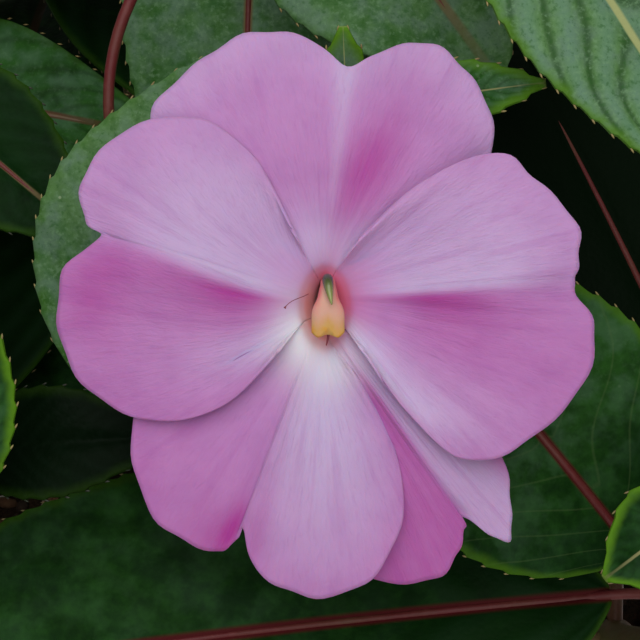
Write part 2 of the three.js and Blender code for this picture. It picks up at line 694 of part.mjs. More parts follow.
// A flower stalk, from behind its bloom or bud to the side of its stem
function stalkCurve(head) {
  const stem = CURVES[head.shoot];
  const frame = faceFrame(head);
  const axis = stem.getPoint(head.at);
  const ahead = stem.getTangent(head.at);
  const top = V(0, 0.2, -CUP_DEPTH - 2.6).applyMatrix4(frame);
  const behind = V(0, 4, -CUP_DEPTH - 16).applyMatrix4(frame);
  const outward = behind.clone().sub(axis);
  outward.addScaledVector(ahead, -outward.dot(ahead)).normalize();
  const foot = axis.clone().addScaledVector(outward, stemRadius(head.at) + SEAT_GAP);
  const rising = foot.clone().addScaledVector(outward, 9).add(V(0, 0, 3));
  return new THREE.CubicBezierCurve3(foot, rising, behind, top);
}

const stalkSolid = (head) => tube(stalkCurve(head), 3, 5, () => STALK_RADIUS);

// A side sepal: a pointed flap behind the petals, to the left for side -1 and to the right for 1
function sepalSolid(frame, side) {
  const points = [V(0, -1, -8), V(side * 5.2, 0.2, -8.3), V(0, 2.2, -8), V(side * 8.6, 5.4, -7.6)];
  const faces = side > 0 ? [[0, 1, 2], [1, 3, 2]] : [[0, 2, 1], [1, 2, 3]];
  return sheet(points.map((p) => p.applyMatrix4(frame)), faces, points.map(() => SEPAL_THICKNESS));
}

function calyxSolid(bloom) {
  const frame = faceFrame(bloom);
  const spur = tube(spurCurve(frame), 4, 5, (t) => lerp(2.4, 0.6, Math.min(1, t * 1.8)));
  return join([spur, sepalSolid(frame, -1), sepalSolid(frame, 1), stalkSolid(bloom)]);
}

// Buds

const budSpurCurve = (frame) => curveIn(frame, [0, -0.5, -6], [0, -5, -9], [0, -12, -8], [0, -20, 1]);

// Radius of a bud at 0 to 1 from its stalk to its point
function budRadius(t) {
  const swell = Math.sin(Math.PI * Math.pow(lerp(0.02, 0.98, t), 0.8));
  return BUD_NECK + (BUD_RADIUS - BUD_NECK) * Math.pow(swell, 0.8);
}

function budSolid(bud) {
  const frame = faceFrame(bud);
  const axis = curveIn(frame, [0, 0.4, -CUP_DEPTH - 3], [0, 0.3, -4], [0, 0.1, 2], [0, 0, 7]);
  const spur = tube(budSpurCurve(frame), 3, 4, (t) => lerp(1.6, 0.5, t));
  return join([tube(axis, 6, 5, budRadius), spur, stalkSolid(bud)]);
}

// Materials

const finish = (color, roughness) => new THREE.MeshStandardMaterial({ color, roughness, metalness: 0 });
const clay = finish(0xb56a45, 0.85);
const peat = finish(0x2c2019, 0.95);
const foliage = finish(0x2f5a2c, 0.45);
const petalPink = finish(0xc98fc9, 0.6);
const anther = finish(0xe6c08a, 0.55);
const calyxGreen = finish(0xa8745e, 0.5);
const budPink = finish(0xc58aa0, 0.55);

// Assembly

const plant = new THREE.Group();
plant.name = "potted_new_guinea_impatiens";
plant.add(meshOf("pot", potSolid(), clay));
plant.add(meshOf("soil", soilSolid(), peat));

const leaves = growLeaves();
for (const name of Object.keys(SHOOTS)) {
  const grown = leaves.filter((leaf) => leaf.owner === name).map(leafSolid);
  plant.add(meshOf("shoot_" + name, join([stemSolid(name), ...grown]), foliage));
}

BLOOMS.forEach((bloom, k) => {
  const frame = faceFrame(bloom).toArray();
  plant.add(meshOf(`bloom_${k + 1}_petals`, petalsSolid(bloom).transform(frame), petalPink));
  plant.add(meshOf(`bloom_${k + 1}_column`, columnSolid().transform(frame), anther));
  plant.add(meshOf(`bloom_${k + 1}_calyx`, calyxSolid(bloom), calyxGreen));
});
BUDS.forEach((bud, k) => plant.add(meshOf(`bud_${k + 1}`, budSolid(bud), budPink)));

export default plant;
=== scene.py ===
"""A potted New Guinea impatiens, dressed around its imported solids.

Shapes are worked out in millimetres with numpy, in the part's own frame: +Z up, origin at the
centre of the pot's foot, main bloom facing -Y and up. Meshes are made in metres.
"""

import math
from functools import reduce
from itertools import permutations

import bpy
import numpy as np
from mathutils import Matrix, Vector


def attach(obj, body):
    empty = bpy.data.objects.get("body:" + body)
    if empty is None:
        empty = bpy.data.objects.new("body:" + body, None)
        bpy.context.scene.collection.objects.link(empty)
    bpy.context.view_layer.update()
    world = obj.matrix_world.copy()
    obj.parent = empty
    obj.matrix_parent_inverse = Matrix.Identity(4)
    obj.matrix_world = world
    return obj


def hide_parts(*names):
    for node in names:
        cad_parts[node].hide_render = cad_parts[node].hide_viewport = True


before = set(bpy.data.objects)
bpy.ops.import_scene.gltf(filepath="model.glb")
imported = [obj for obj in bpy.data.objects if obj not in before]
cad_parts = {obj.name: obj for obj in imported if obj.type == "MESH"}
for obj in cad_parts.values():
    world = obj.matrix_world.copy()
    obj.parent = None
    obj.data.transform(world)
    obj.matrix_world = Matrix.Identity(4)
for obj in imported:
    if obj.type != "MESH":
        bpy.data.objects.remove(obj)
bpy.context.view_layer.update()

MM = 0.001

# Pot and soil
POT_HEIGHT = 118.0
POT_FOOT_RADIUS = 49.0
POT_RIM_RADIUS = 73.0
POT_COLLAR_HEIGHT = 24.0
POT_COLLAR_STEP = 3.5
POT_WALL = 5.0
POT_FLOOR = 7.0
DRAIN_RADIUS = 5.0
DRAIN_RING = 26.0
DRAIN_HOLES = 3
SEAT_GAP = 0.3
SOIL_TOP = 106.0
SOIL_SHOULDER = 6.0
SOIL_RELIEF = 1.3
SOIL_SEED = 5
SOIL_EDGE_DROP = 0.6
STEM_DIMPLE = 1.4
HOLE_DEPTH = 22.0
CRUMB_MARGIN = 1.5
CRUMB_LIFT = 0.15
CRUMB_ROUGHNESS = (0.75, 1.2)

# Plant
STEM_FOOT_RADIUS = 4.6
STEM_TIP_RADIUS = 2.1
STEM_RISE = 3.0
NODE_SWELLING = 0.8
PETIOLE_RADIUS = 1.1
NEAR_PETIOLE_RADIUS = 0.8
MIDRIB_SHARE = 0.85
RED_MIDRIB_DEPTH = 0.45
GREEN_MIDRIB_DEPTH = 1.2
STALK_RADIUS = 1.05
BLADE_SKIN = 0.45
BLADE_START = 0.015
BLADE_WIDEST = 0.42
BLADE_BASE_CURVE = 0.75
BLADE_TIP_CURVE = 1.03
TOOTH_PITCH = 2.7
TOOTH_HEIGHT = 0.5
TOOTH_PEAK = 0.76
BRISTLE_LENGTH = 0.85
BRISTLE_RADIUS = 0.13
BRISTLE_LEAN = 0.4
BRISTLE_SUNK = 0.15
VEINS = 9.0
VEIN_BEND = 1.3
VEIN_REACH = 0.3
PUCKER = 0.018
USUAL_WIDTH = 30.0
BASE_SHADE = 0.3

# Room kept between leaves of different shoots, between whorls of one shoot, and round all else
LEAF_CLEARANCE = 3.6
OWN_CLEARANCE = 2.4
STEM_REACH = 3.4
SPUR_REACH = 1.6
BUD_SPUR_REACH = 1.2
POT_MARGIN = 4.0
VIEW_HALF = 40.0
VIEW_SPREAD = 0.13
VIEW_DEPTH = 46.0

# Radius, lowest and highest of the room round a bloom or a bud, on its own face
BLOOM_DRUM = (37, -10, 6)
BUD_DRUM = (8, -12, 11)

# What chance adds to a whorl's leaves: degrees of turn and rise, and share of their size
LAYOUT_SEED = 41
TURN_CHANCE = 24
RISE_CHANCE = 14
SMALLEST = 0.86
SIZE_CHANCE = 0.26
WHORL_TWIST = 0.5
GOLDEN_TURN = 137.5
STALK_LIFT = 0.35

# Blooms: where the main one is and how far it faces up, then what all of them share
BLOOM_CENTRE = (0, -60, 244)
BLOOM_RISE = 55
PETAL_SKIN = 0.34
PETAL_DROOP = 0.0022
CUP_DEPTH = 6.0
THROAT_X = 2.9
THROAT_Y = 4.6
THROAT_CENTRE = -0.7
THROAT_FLOOR = -4.6
FUNNEL_DROP = 1.0
FUNNEL_REACH = 1.5
CLAW_NARROWING = 1.55
COLUMN_SHIFT = 0.35
GREEN_TIP_RADIUS = 0.66
THREAD_RADII = (0.24, 0.07)
HAIR_RADIUS = 0.045
HAIR_HEAD = 0.14
SPUR_RADII = (2.4, 0.55)
SEPAL_LENGTH = 8.8
SEPAL_HALF_WIDTH = 1.9
SEPAL_SKIN = 0.5

# Buds
BUD_RADIUS = 4.0
BUD_TOP = 7
BUD_FOOT = -CUP_DEPTH - 3
BUD_FOLDS = 5
BUD_TWIST = 2.4
FOLD_DEPTH = 0.07
BUD_SPUR_RADII = (1.6, 0.45)

# How fine the meshes are: points round a piece or, for a petal, across it, along it and down its claw
POT_SIDES = 128
DRAIN_SIDES = 40
SOIL_SIDES = 150
SOIL_RINGS = 44
STEM_SIDES = 20
PETIOLE_SIDES = 10
CUP_SIDES = 48
COLUMN_SIDES = 32
GREEN_TIP_SIDES = 14
THREAD_SIDES = 8
SPUR_SIDES = 16
STALK_SIDES = 12
BUD_SIDES = 36
MAIN_PETAL = (97, 62, 14)
OTHER_PETAL = (49, 30, 8)

# View: the camera looks straight at the main bloom, which the frame's width takes in
VIEW_DISTANCE = 300.0
VIEW_WIDTH = 76.0
VIEW_AIM = (-0.6, -2.4)
SENSOR = 36.0

# Light: two area lights with place and size in metres, watts and colour, and the room's even light
LIGHTS = {
    "sky": ((-0.12, -0.1, 1.3), 1.3, 12.6, (1.0, 0.99, 0.98)),
    "front": ((0.35, -0.95, 0.8), 0.9, 4.0, (1.0, 0.98, 0.96)),
}
ROOM_COLOR = (0.88, 0.93, 1.0, 1)
ROOM_STRENGTH = 0.13


# Small helpers


def vec(*values):
    return np.array(values, float)


def unit(v):
    return v / np.linalg.norm(v, axis=-1, keepdims=True)


def lerp(a, b, t):
    return a + (b - a) * t


def smooth(value, low, high):
    t = np.clip((value - low) / (high - low), 0, 1)
    return t * t * (3 - 2 * t)


def hill(value, centre, width):
    return np.exp(-(((value - centre) / width) ** 2))


def seeded(seed):
    """The same sequence of numbers from 0 to 1 as the solids are placed by."""
    state = seed

    def draw():
        nonlocal state
        state = (state * 1664525 + 1013904223) % 4294967296
        return state / 4294967296

    return draw


def bezier(controls, t):
    """The point of a Bezier curve at t, or the points at several t."""
    t = np.asarray(t, float)[..., None]
    points = [np.broadcast_to(c, t.shape[:-1] + (3,)) for c in controls]
    while len(points) > 1:
        points = [lerp(a, b, t) for a, b in zip(points, points[1:])]
    return points[0]


def bezier_ahead(controls, t):
    step = 1e-4
    return unit(bezier(controls, min(t + step, 1)) - bezier(controls, max(t - step, 0)))


def heading(turn, rise):
    """The direction at a turn about Z and a rise above the horizon, both in radians."""
    return vec(math.cos(turn) * math.cos(rise), math.sin(turn) * math.cos(rise), math.sin(rise))


class Face:
    """A bloom's own frame: x to its right, y up its face, z out of its face."""

    def __init__(self, centre, turn, rise, roll=0):
        a, e, r = math.radians(turn), math.radians(rise), math.radians(roll)
        out = vec(math.sin(a) * math.cos(e), -math.cos(a) * math.cos(e), math.sin(e))
        level = vec(math.cos(a), math.sin(a), 0)
        right = level * math.cos(r) + np.cross(out, level) * math.sin(r)
        self.centre = vec(*centre)
        self.axes = np.array([right, np.cross(out, right), out])

    def place(self, points):
        return self.centre + np.asarray(points, float) @ self.axes

    def local(self, points):
        return (points - self.centre) @ self.axes.T


MAIN = Face(BLOOM_CENTRE, 0, BLOOM_RISE)


def on_face(x, y, depth):
    return MAIN.place((x, y, -depth))


# The plant's plan: shoots, leaves, blooms and buds, as the solids are placed

SHOOTS = {
    "front": dict(foot=(2, -16), lean=(2, -42, 186), tip=on_face(3, 20, 14), turn=250),
    "right_front": dict(foot=(27, -30), lean=(52, -64, 140), tip=(60, -80, 208), turn=300),
    "left_front": dict(foot=(-27, -28), lean=(-54, -52, 143), tip=(-60, -62, 218), turn=200),
    "centre": dict(foot=(2, 8), lean=(2, 10, 172), tip=(6, 12, 272), turn=30),
    "left": dict(foot=(-36, 6), lean=(-78, 10, 140), tip=(-92, 14, 208), turn=170),
    "right": dict(foot=(36, 4), lean=(80, 6, 138), tip=(94, 8, 204), turn=10),
    "left_back": dict(foot=(-20, 36), lean=(-46, 72, 145), tip=(-52, 84, 220), turn=110),
    "right_back": dict(foot=(20, 36), lean=(46, 74, 148), tip=(50, 88, 224), turn=60),
}


def shoot_curve(shoot):
    x, y = shoot["foot"]
    lean = vec(*shoot["lean"])
    ground = vec(x, y, SOIL_TOP + STEM_RISE)
    return [ground, vec(x, y, lerp(SOIL_TOP, lean[2], 0.55)), lean, vec(*shoot["tip"])]


CURVES = {name: shoot_curve(shoot) for name, shoot in SHOOTS.items()}


def stem_radius(t):
    return lerp(STEM_FOOT_RADIUS, STEM_TIP_RADIUS, t**0.8)


# Leaves seen behind the main bloom, given on its face: where on their shoot, base and tip, the
# sideways and upward tilt of the blade and its width. Then, from 0 to 1, how light its green is,
# how red its midrib, how strongly it is ribbed between its side veins and how bright its margin.
# How light the green is partly stands for painted shade: leaves deep in the plant are darker. The
# ribbing also sets the painted sheen on the ridges and the painted shade in the vein creases.
# A ribbing below 0 is that of a leaf with pale side veins.
FACE_LEAVES = [
    ("right_front", 0.8, (38, -38.5, 32), (-78, -54, 38), (0, 0.35), 47, 0.08, 1, 0.3, 0.3),
    ("right_front", 0.88, (40, -32.5, 24), (7, 6.5, 17), (0.1, 0.1), 36, 0.28, 1, -0.25, 0.6),
    ("right_front", 0.95, (47, -25, 12), (34, -34, 8), (0.1, 0.2), 13, 0.06, 0.4, 0.3, 1),
    ("right_front", 0.72, (48, -8, 44), (25.5, 36, 42), (0, 0.2), 36, -0.9, 1, 0, 0),
    ("front", 0.8, (-28, -13, 20), (-8, 33.5, 20), (-0.2, 0), 33, 0.9, 0.3, 0.2, 0.2),
    ("left_front", 0.95, (-50, -28, 13), (-44, 5, 9), (-0.1, 0.1), 20, 0.15, 0.3, 0.4, 1),
    ("left_front", 0.9, (-47, -19, 21), (-19, -17, 16), (0, 0.2), 14, -0.75, 0.4, 0.1, 0.1),
    ("left", 0.9, (-60, 32, 40), (-31, 8, 36), (0, 0.2), 20, -0.25, 0.7, 0.2, 0.2),
    ("centre", 0.93, (17, 63, 12), (50, 9.5, 3), (0.1, 0.25), 27, 1.02, 0, 1, 0.8),
    ("centre", 0.84, (-6, 66, 30), (23, 27.5, 27), (0.15, 0.1), 36, 0.75, 0.7, 0.15, 0.15),
    ("centre", 0.86, (-9, 66, 38), (-11, 2, 42), (-0.1, 0.1), 33, 0.72, 0.7, 0.2, 0.1),
    ("centre", 0.95, (-28, 24, 28), (-25, -14, 29), (0, 0), 14, 0.0, 0.6, 0.25, 0.2),
    ("front", 0.985, (7, 24, 12), (27, 26.5, 8.5), (0, 0.2), 8, 0.5, 0.3, 0.4, 0.8),
    ("front", 0.985, (2.6, 25, 12), (2.2, 33.5, 8.5), (0, -0.2), 5, 1.2, 0, 0.1, 1),
]

# Whorls by rule, from the tip down: place on the shoot, leaves, length, width, rise and petiole, then
# a tone that darkens down the shoot, partly painted shade low in the plant
WHORLS = [
    dict(at=0.985, leaves=2, length=30, width=12, rise=52, petiole=3, tone=0.5),
    dict(at=0.91, leaves=3, length=60, width=26, rise=24, petiole=8, tone=0.22),
    dict(at=0.78, leaves=3, length=82, width=36, rise=6, petiole=13, tone=0.08),
    dict(at=0.58, leaves=4, length=92, width=40, rise=-8, petiole=20, tone=-0.05),
]

# Turns and rises that a leaf tries, in order, until its blade is clear of what grows round it
TRIES = sorted(
    ((turn, rise) for turn in (0, 12, -12, 24, -24, 36, -36) for rise in (0, 14, 28, -12)),
    key=lambda pair: abs(pair[0]) + abs(pair[1]),
)

BLOOMS = [
    dict(shoot="front", at=0.84, face=MAIN),
    dict(shoot="right", at=0.9, face=Face((118, -24, 210), 68, 42, 12)),
    dict(shoot="left", at=0.9, face=Face((-116, -16, 216), -64, 46, -14)),
    dict(shoot="right_back", at=0.84, face=Face((62, 118, 228), 152, 44, 8)),
    dict(shoot="left_back", at=0.9, face=Face((-50, 112, 240), 198, 52, -8)),
    dict(shoot="centre", at=0.92, face=Face((-12, 52, 290), 190, 72, 20)),
]
BUDS = [
    dict(shoot="left_front", at=0.93, face=Face((-78, -86, 226), -30, 62)),
    dict(shoot="centre", at=0.95, face=Face((34, 34, 290), 130, 74)),
    dict(shoot="right", at=0.95, face=Face((106, 34, 232), 110, 66)),
    dict(shoot="left", at=0.95, face=Face((-104, 44, 236), -110, 66)),
]


def spur_curve(face):
    top = -CUP_DEPTH - SEAT_GAP
    return face.place([(0, THROAT_CENTRE, top), (0, THROAT_CENTRE, -14), (0, -17, -20), (-3, -34, -12)])


def bud_spur_curve(face):
    return face.place([(0, -0.5, -6), (0, -5, -9), (0, -12, -8), (0, -20, 1)])


def stalk_curve(head):
    """The flower stalk, from behind its bloom or bud to the side of its stem."""
    stem, at, face = CURVES[head["shoot"]], head["at"], head["face"]
    axis, ahead = bezier(stem, at), bezier_ahead(stem, at)
    top = face.place((0, 0.2, -CUP_DEPTH - 2.6))
    behind = face.place((0, 4, -CUP_DEPTH - 16))
    outward = behind - axis
    outward = unit(outward - ahead * (outward @ ahead))
    foot = axis + outward * (stem_radius(at) + SEAT_GAP)
    return [foot, foot + outward * 9 + vec(0, 0, 3), behind, top]


# Leaf blades


def blade_shape(s):
    """Half-width of a blade as a share of its widest, at 0 to 1 from base to tip."""
    s = np.clip(s, 0, 1)
    widest = BLADE_WIDEST**BLADE_BASE_CURVE * (1 - BLADE_WIDEST) ** BLADE_TIP_CURVE
    return s**BLADE_BASE_CURVE * (1 - s) ** BLADE_TIP_CURVE / widest


def blade_axes(leaf):
    along = leaf["tip"] - leaf["base"]
    length = np.linalg.norm(along)
    along = along / length
    side = unit(np.cross(along, leaf["face"]))
    return along, side, np.cross(side, along), length


def blade_wave(leaf, s, u):
    """Height of the waves along a blade's two sides."""
    turn = 2.2 * s + leaf["phase"] + np.where(u > 0, 0.3, 0)
    return leaf["wave"] * leaf["width"] * np.sin(2 * np.pi * turn) * u * u * np.minimum(1, 4 * s)


def blade_points(leaf, s, u, reach=0.0, lift=0.0):
    """Points of a blade at s from base to tip and u from -1 to 1 across."""
    along, side, up, length = blade_axes(leaf)
    half = leaf["width"] / 2 * blade_shape(s) + reach
    arch = leaf["arch"] * length * 4 * s * (1 - s)
    fold = leaf["fold"] * np.abs(u) * half
    height = arch + fold + blade_wave(leaf, s, u) + lift
    return leaf["base"] + (
        along * (length * s)[..., None] + side * (u * half)[..., None] + up * height[..., None]
    )


def petiole_curve(leaf):
    start = bezier(CURVES[leaf["owner"]], leaf["at"])
    along = blade_axes(leaf)[0]
    middle = leaf["base"] - along * 0.45 * np.linalg.norm(leaf["base"] - start)
    return [start, middle, blade_points(leaf, np.array(BLADE_START), np.array(0.0))]


def face_leaf(shoot, at, base, tip, tilt, width, tone, red, ribbing, margin):
    return dict(
        owner=shoot, at=at, base=on_face(*base), tip=on_face(*tip), face=vec(*tilt, 1) @ MAIN.axes,
        width=width, arch=0.05, fold=0.1, wave=0.02, phase=0.2, near=True,
        tone=tone, red=red, ribbing=ribbing, margin=margin,
    )


def whorl_leaf(owner, whorl, turn, rise, scale, phase):
    a, e = math.radians(turn), math.radians(rise)
    along = heading(a, e)
    reach = stem_radius(whorl["at"]) + whorl["petiole"] * scale
    base = bezier(CURVES[owner], whorl["at"]) + heading(a, e + STALK_LIFT) * reach
    side = vec(math.sin(a), -math.cos(a), 0)
    return dict(
        owner=owner, at=whorl["at"], base=base, tip=base + along * whorl["length"] * scale,
        face=np.cross(side, along) + side * (phase - 0.5) * WHORL_TWIST, width=whorl["width"] * scale,
        arch=0.1, fold=0.12, wave=0.04, phase=phase, near=False,
        tone=whorl["tone"], red=0.92, ribbing=0.4, margin=0.2,
    )


# Clouds of points keep apart what grows


def cloud(points, reach, owner, at=None):
    margin = reach + LEAF_CLEARANCE
    low, high = points.min(axis=0) - margin, points.max(axis=0) + margin
    return dict(points=points, reach=reach, owner=owner, at=at, low=low, high=high)


def blade_cloud(leaf):
    s, u = np.meshgrid(lerp(0.05, 1, np.arange(15) / 14), np.arange(-3, 4) / 3, indexing="ij")
    return cloud(blade_points(leaf, s, u).reshape(-1, 3), 0, leaf["owner"], leaf["at"])


def curve_cloud(controls, start, end, reach, owner, at=None):
    return cloud(bezier(controls, lerp(start, end, np.arange(25) / 24)), reach, owner, at)


def petiole_cloud(leaf):
    return curve_cloud(petiole_curve(leaf), 0.3, 0.9, PETIOLE_RADIUS, leaf["owner"], leaf["at"])


def too_close(one, two):
    """Whether two clouds come closer than they may. Leaves of one whorl may touch, and a stem its own."""
    kin = one["owner"] == two["owner"]
    if kin and two["at"] in (one["at"], "stem"):
        return False
    if (one["low"] > two["high"]).any() or (two["low"] > one["high"]).any():
        return False
    clearance = (OWN_CLEARANCE if kin else LEAF_CLEARANCE) + one["reach"] + two["reach"]
    apart = one["points"][:, None] - two["points"][None]
    return bool(((apart**2).sum(axis=2) < clearance**2).any())


def is_taken(points):
    """Whether any point is in the pot, in the view of the main bloom, or in a bloom or bud."""
    x, y, z = points.T
    in_pot = (z < POT_HEIGHT + POT_MARGIN) & (np.hypot(x, y) < POT_RIM_RADIUS + POT_MARGIN)
    right, up, out = MAIN.local(points).T
    half = VIEW_HALF - out * VIEW_SPREAD
    in_view = (np.abs(right) < half) & (np.abs(up) < half) & (out > -VIEW_DEPTH)
    if (in_pot | in_view | (z < POT_MARGIN)).any():
        return True
    heads = [(bloom, BLOOM_DRUM) for bloom in BLOOMS] + [(bud, BUD_DRUM) for bud in BUDS]
    for head, (radius, low, high) in heads:
        right, up, out = head["face"].local(points).T
        if ((np.hypot(right, up) < radius) & (out > low) & (out < high)).any():
            return True
    return False


def is_clear(leaf, placed):
    blade = blade_cloud(leaf)
    if is_taken(blade["points"]):
        return False
    stalk = petiole_cloud(leaf)
    return not any(too_close(blade, other) or too_close(stalk, other) for other in placed)


def first_clouds(framing):
    clouds = [curve_cloud(c, 0, 1, STEM_REACH, name, "stem") for name, c in CURVES.items()]
    clouds += [curve_cloud(stalk_curve(head), 0.05, 1, STALK_RADIUS, "head") for head in BLOOMS + BUDS]
    clouds += [curve_cloud(spur_curve(bloom["face"]), 0, 1, SPUR_REACH, "head") for bloom in BLOOMS]
    clouds += [curve_cloud(bud_spur_curve(bud["face"]), 0, 1, BUD_SPUR_REACH, "head") for bud in BUDS]
    return clouds + [made(leaf) for leaf in framing for made in (blade_cloud, petiole_cloud)]


def grow_leaves():
    """Every leaf: the framing ones as given, then each shoot's whorls from the tip down."""
    leaves = [face_leaf(*spec) for spec in FACE_LEAVES]
    placed = first_clouds(leaves)
    draw = seeded(LAYOUT_SEED)
    for level, whorl in enumerate(WHORLS):
        for owner, shoot in SHOOTS.items():
            for k in range(whorl["leaves"]):
                turn = shoot["turn"] + 360 / whorl["leaves"] * k + GOLDEN_TURN * level
                turn += (draw() - 0.5) * TURN_CHANCE
                rise = whorl["rise"] + (draw() - 0.5) * RISE_CHANCE
                scale = SMALLEST + draw() * SIZE_CHANCE
                phase = draw()
                tried = (whorl_leaf(owner, whorl, turn + a, rise + b, scale, phase) for a, b in TRIES)
                found = next((leaf for leaf in tried if is_clear(leaf, placed)), None)
                if found:
                    leaves.append(found)
                    placed += [blade_cloud(found), petiole_cloud(found)]
    return leaves


# Meshes

# How far the ring that closes a tube is drawn in to its middle
CAP_CLOSING = 0.98


def turns(count):
    """Angles all the way round, in radians."""
    return 2 * np.pi * np.arange(count) / count


def circle(sides, wide, deep):
    """Points round a circle that runs through the ends of two directions."""
    angles = turns(sides)[:, None]
    return np.cos(angles) * wide + np.sin(angles) * deep


def grid_quads(rows, columns, wrap=False):
    """The quads of a grid of points. A wrapped grid joins its last column to its first."""
    across = columns if wrap else columns - 1
    i, k = np.meshgrid(np.arange(rows - 1), np.arange(across), indexing="ij")
    a, b = i * columns + k, i * columns + (k + 1) % columns
    return np.stack([a, b, b + columns, a + columns], axis=-1).reshape(-1, 4)


class Pieces:
    """Gathers the points, faces and point values of one Blender object, in millimetres."""

    def __init__(self, *value_names):
        self.points = []
        self.values = {name: [] for name in value_names}
        self.faces = []
        self.count = 0

    def add(self, points, *faces, **values):
        """Adds points, in any grid, and faces: arrays with the index of their material, then True if flat.

        A value is one number or spreads over the grid. A value not given is 0."""
        self.points.append(points.reshape(-1, 3))
        for name, gathered in self.values.items():
            gathered.append(np.broadcast_to(values.get(name, 0.0), points.shape[:-1]).ravel())
        for corners, index, *flat in faces:
            self.faces.append((corners + self.count, index, bool(flat)))
        self.count += len(self.points[-1])

    def add_rings(self, rings, index=0, flip=False, **values):
        """Adds a closed skin round a row of rings of points."""
        rows, sides = rings.shape[:2]
        cap = np.arange(sides)[None]
        faces = [grid_quads(rows, sides, wrap=True), cap[:, ::-1], cap + sides * (rows - 1)]
        self.add(rings, *((face[:, ::-1] if flip else face, index) for face in faces), **values)

    def add_tube(self, line, radii, sides, **values):
        """Adds a closed tube round a line of points. A value may be given for each point of the line."""
        ahead = unit(np.gradient(line, axis=0))
        across = np.cross(ahead[0], vec(0, 0, 1) if abs(ahead[0][2]) < 0.8 else vec(1, 0, 0))
        rings = []
        for point, way, radius in zip(line, ahead, np.broadcast_to(radii, len(line))):
            across = unit(across - way * (across @ way))
            rings.append(point + circle(sides, across, np.cross(way, across)) * radius)
        ends = [lerp(rings[k], line[k], CAP_CLOSING) for k in (0, -1)]
        for name, value in values.items():
            values[name] = np.pad(np.broadcast_to(value, len(line)), 1, mode="edge")[:, None]
        self.add_rings(np.stack([ends[0], *rings, ends[1]]), **values)

    def add_sheet(self, points, thickness, under=0, flip=False, **values):
        """Adds a grid of points as a thin closed sheet. under is the material of its underside."""
        grid = points.shape[:2]
        below = math.prod(grid)
        normals = unit(np.cross(np.gradient(points, axis=1), np.gradient(points, axis=0)) + 1e-12)
        half = normals * np.broadcast_to(thickness, grid)[..., None] / 2
        quads = grid_quads(*grid)
        number = np.arange(below).reshape(grid)
        loop = np.concatenate([number[0, :-1], number[:-1, -1], number[-1, :0:-1], number[:0:-1, 0]])
        after = np.roll(loop, -1)
        rim = np.stack([after, loop, loop + below, after + below], axis=-1)
        way = -1 if flip else 1
        faces = [(quads[:, ::way], 0), (quads[:, ::-way] + below, under), (rim[:, ::way], 0, True)]
        self.add(np.stack([points + half, points - half]), *faces, **values)

    def build(self, name, materials, slot, *nodes):
        """Makes the object. nodes are the CAD nodes that it replaces."""
        arrays, indices, flat = zip(*self.faces)
        counts = [len(array) for array in arrays]
        mesh = bpy.data.meshes.new(name)
        corners = [face for array in arrays for face in array.tolist()]
        mesh.from_pydata(np.concatenate(self.points) * MM, [], corners)
        mesh.polygons.foreach_set("material_index", np.repeat(indices, counts))
        mesh.polygons.foreach_set("use_smooth", ~np.repeat(flat, counts))
        for key, gathered in self.values.items():
            attribute = mesh.attributes.new(key, "FLOAT", "POINT")
            attribute.data.foreach_set("value", np.concatenate(gathered).astype(np.float32))
        for material in materials:
            mesh.materials.append(material)
        obj = bpy.data.objects.new(name, mesh)
        bpy.context.scene.collection.objects.link(obj)
        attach(obj, "root")
        if nodes:
            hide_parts(*nodes)
        return obj


# Materials


def linear(color):
    """A colour as it looks on screen, from 0 to 255, as the light that the shader takes."""
    share = np.array(color) / 255
    return np.where(share <= 0.04045, share / 12.92, ((share + 0.055) / 1.055) ** 2.4)


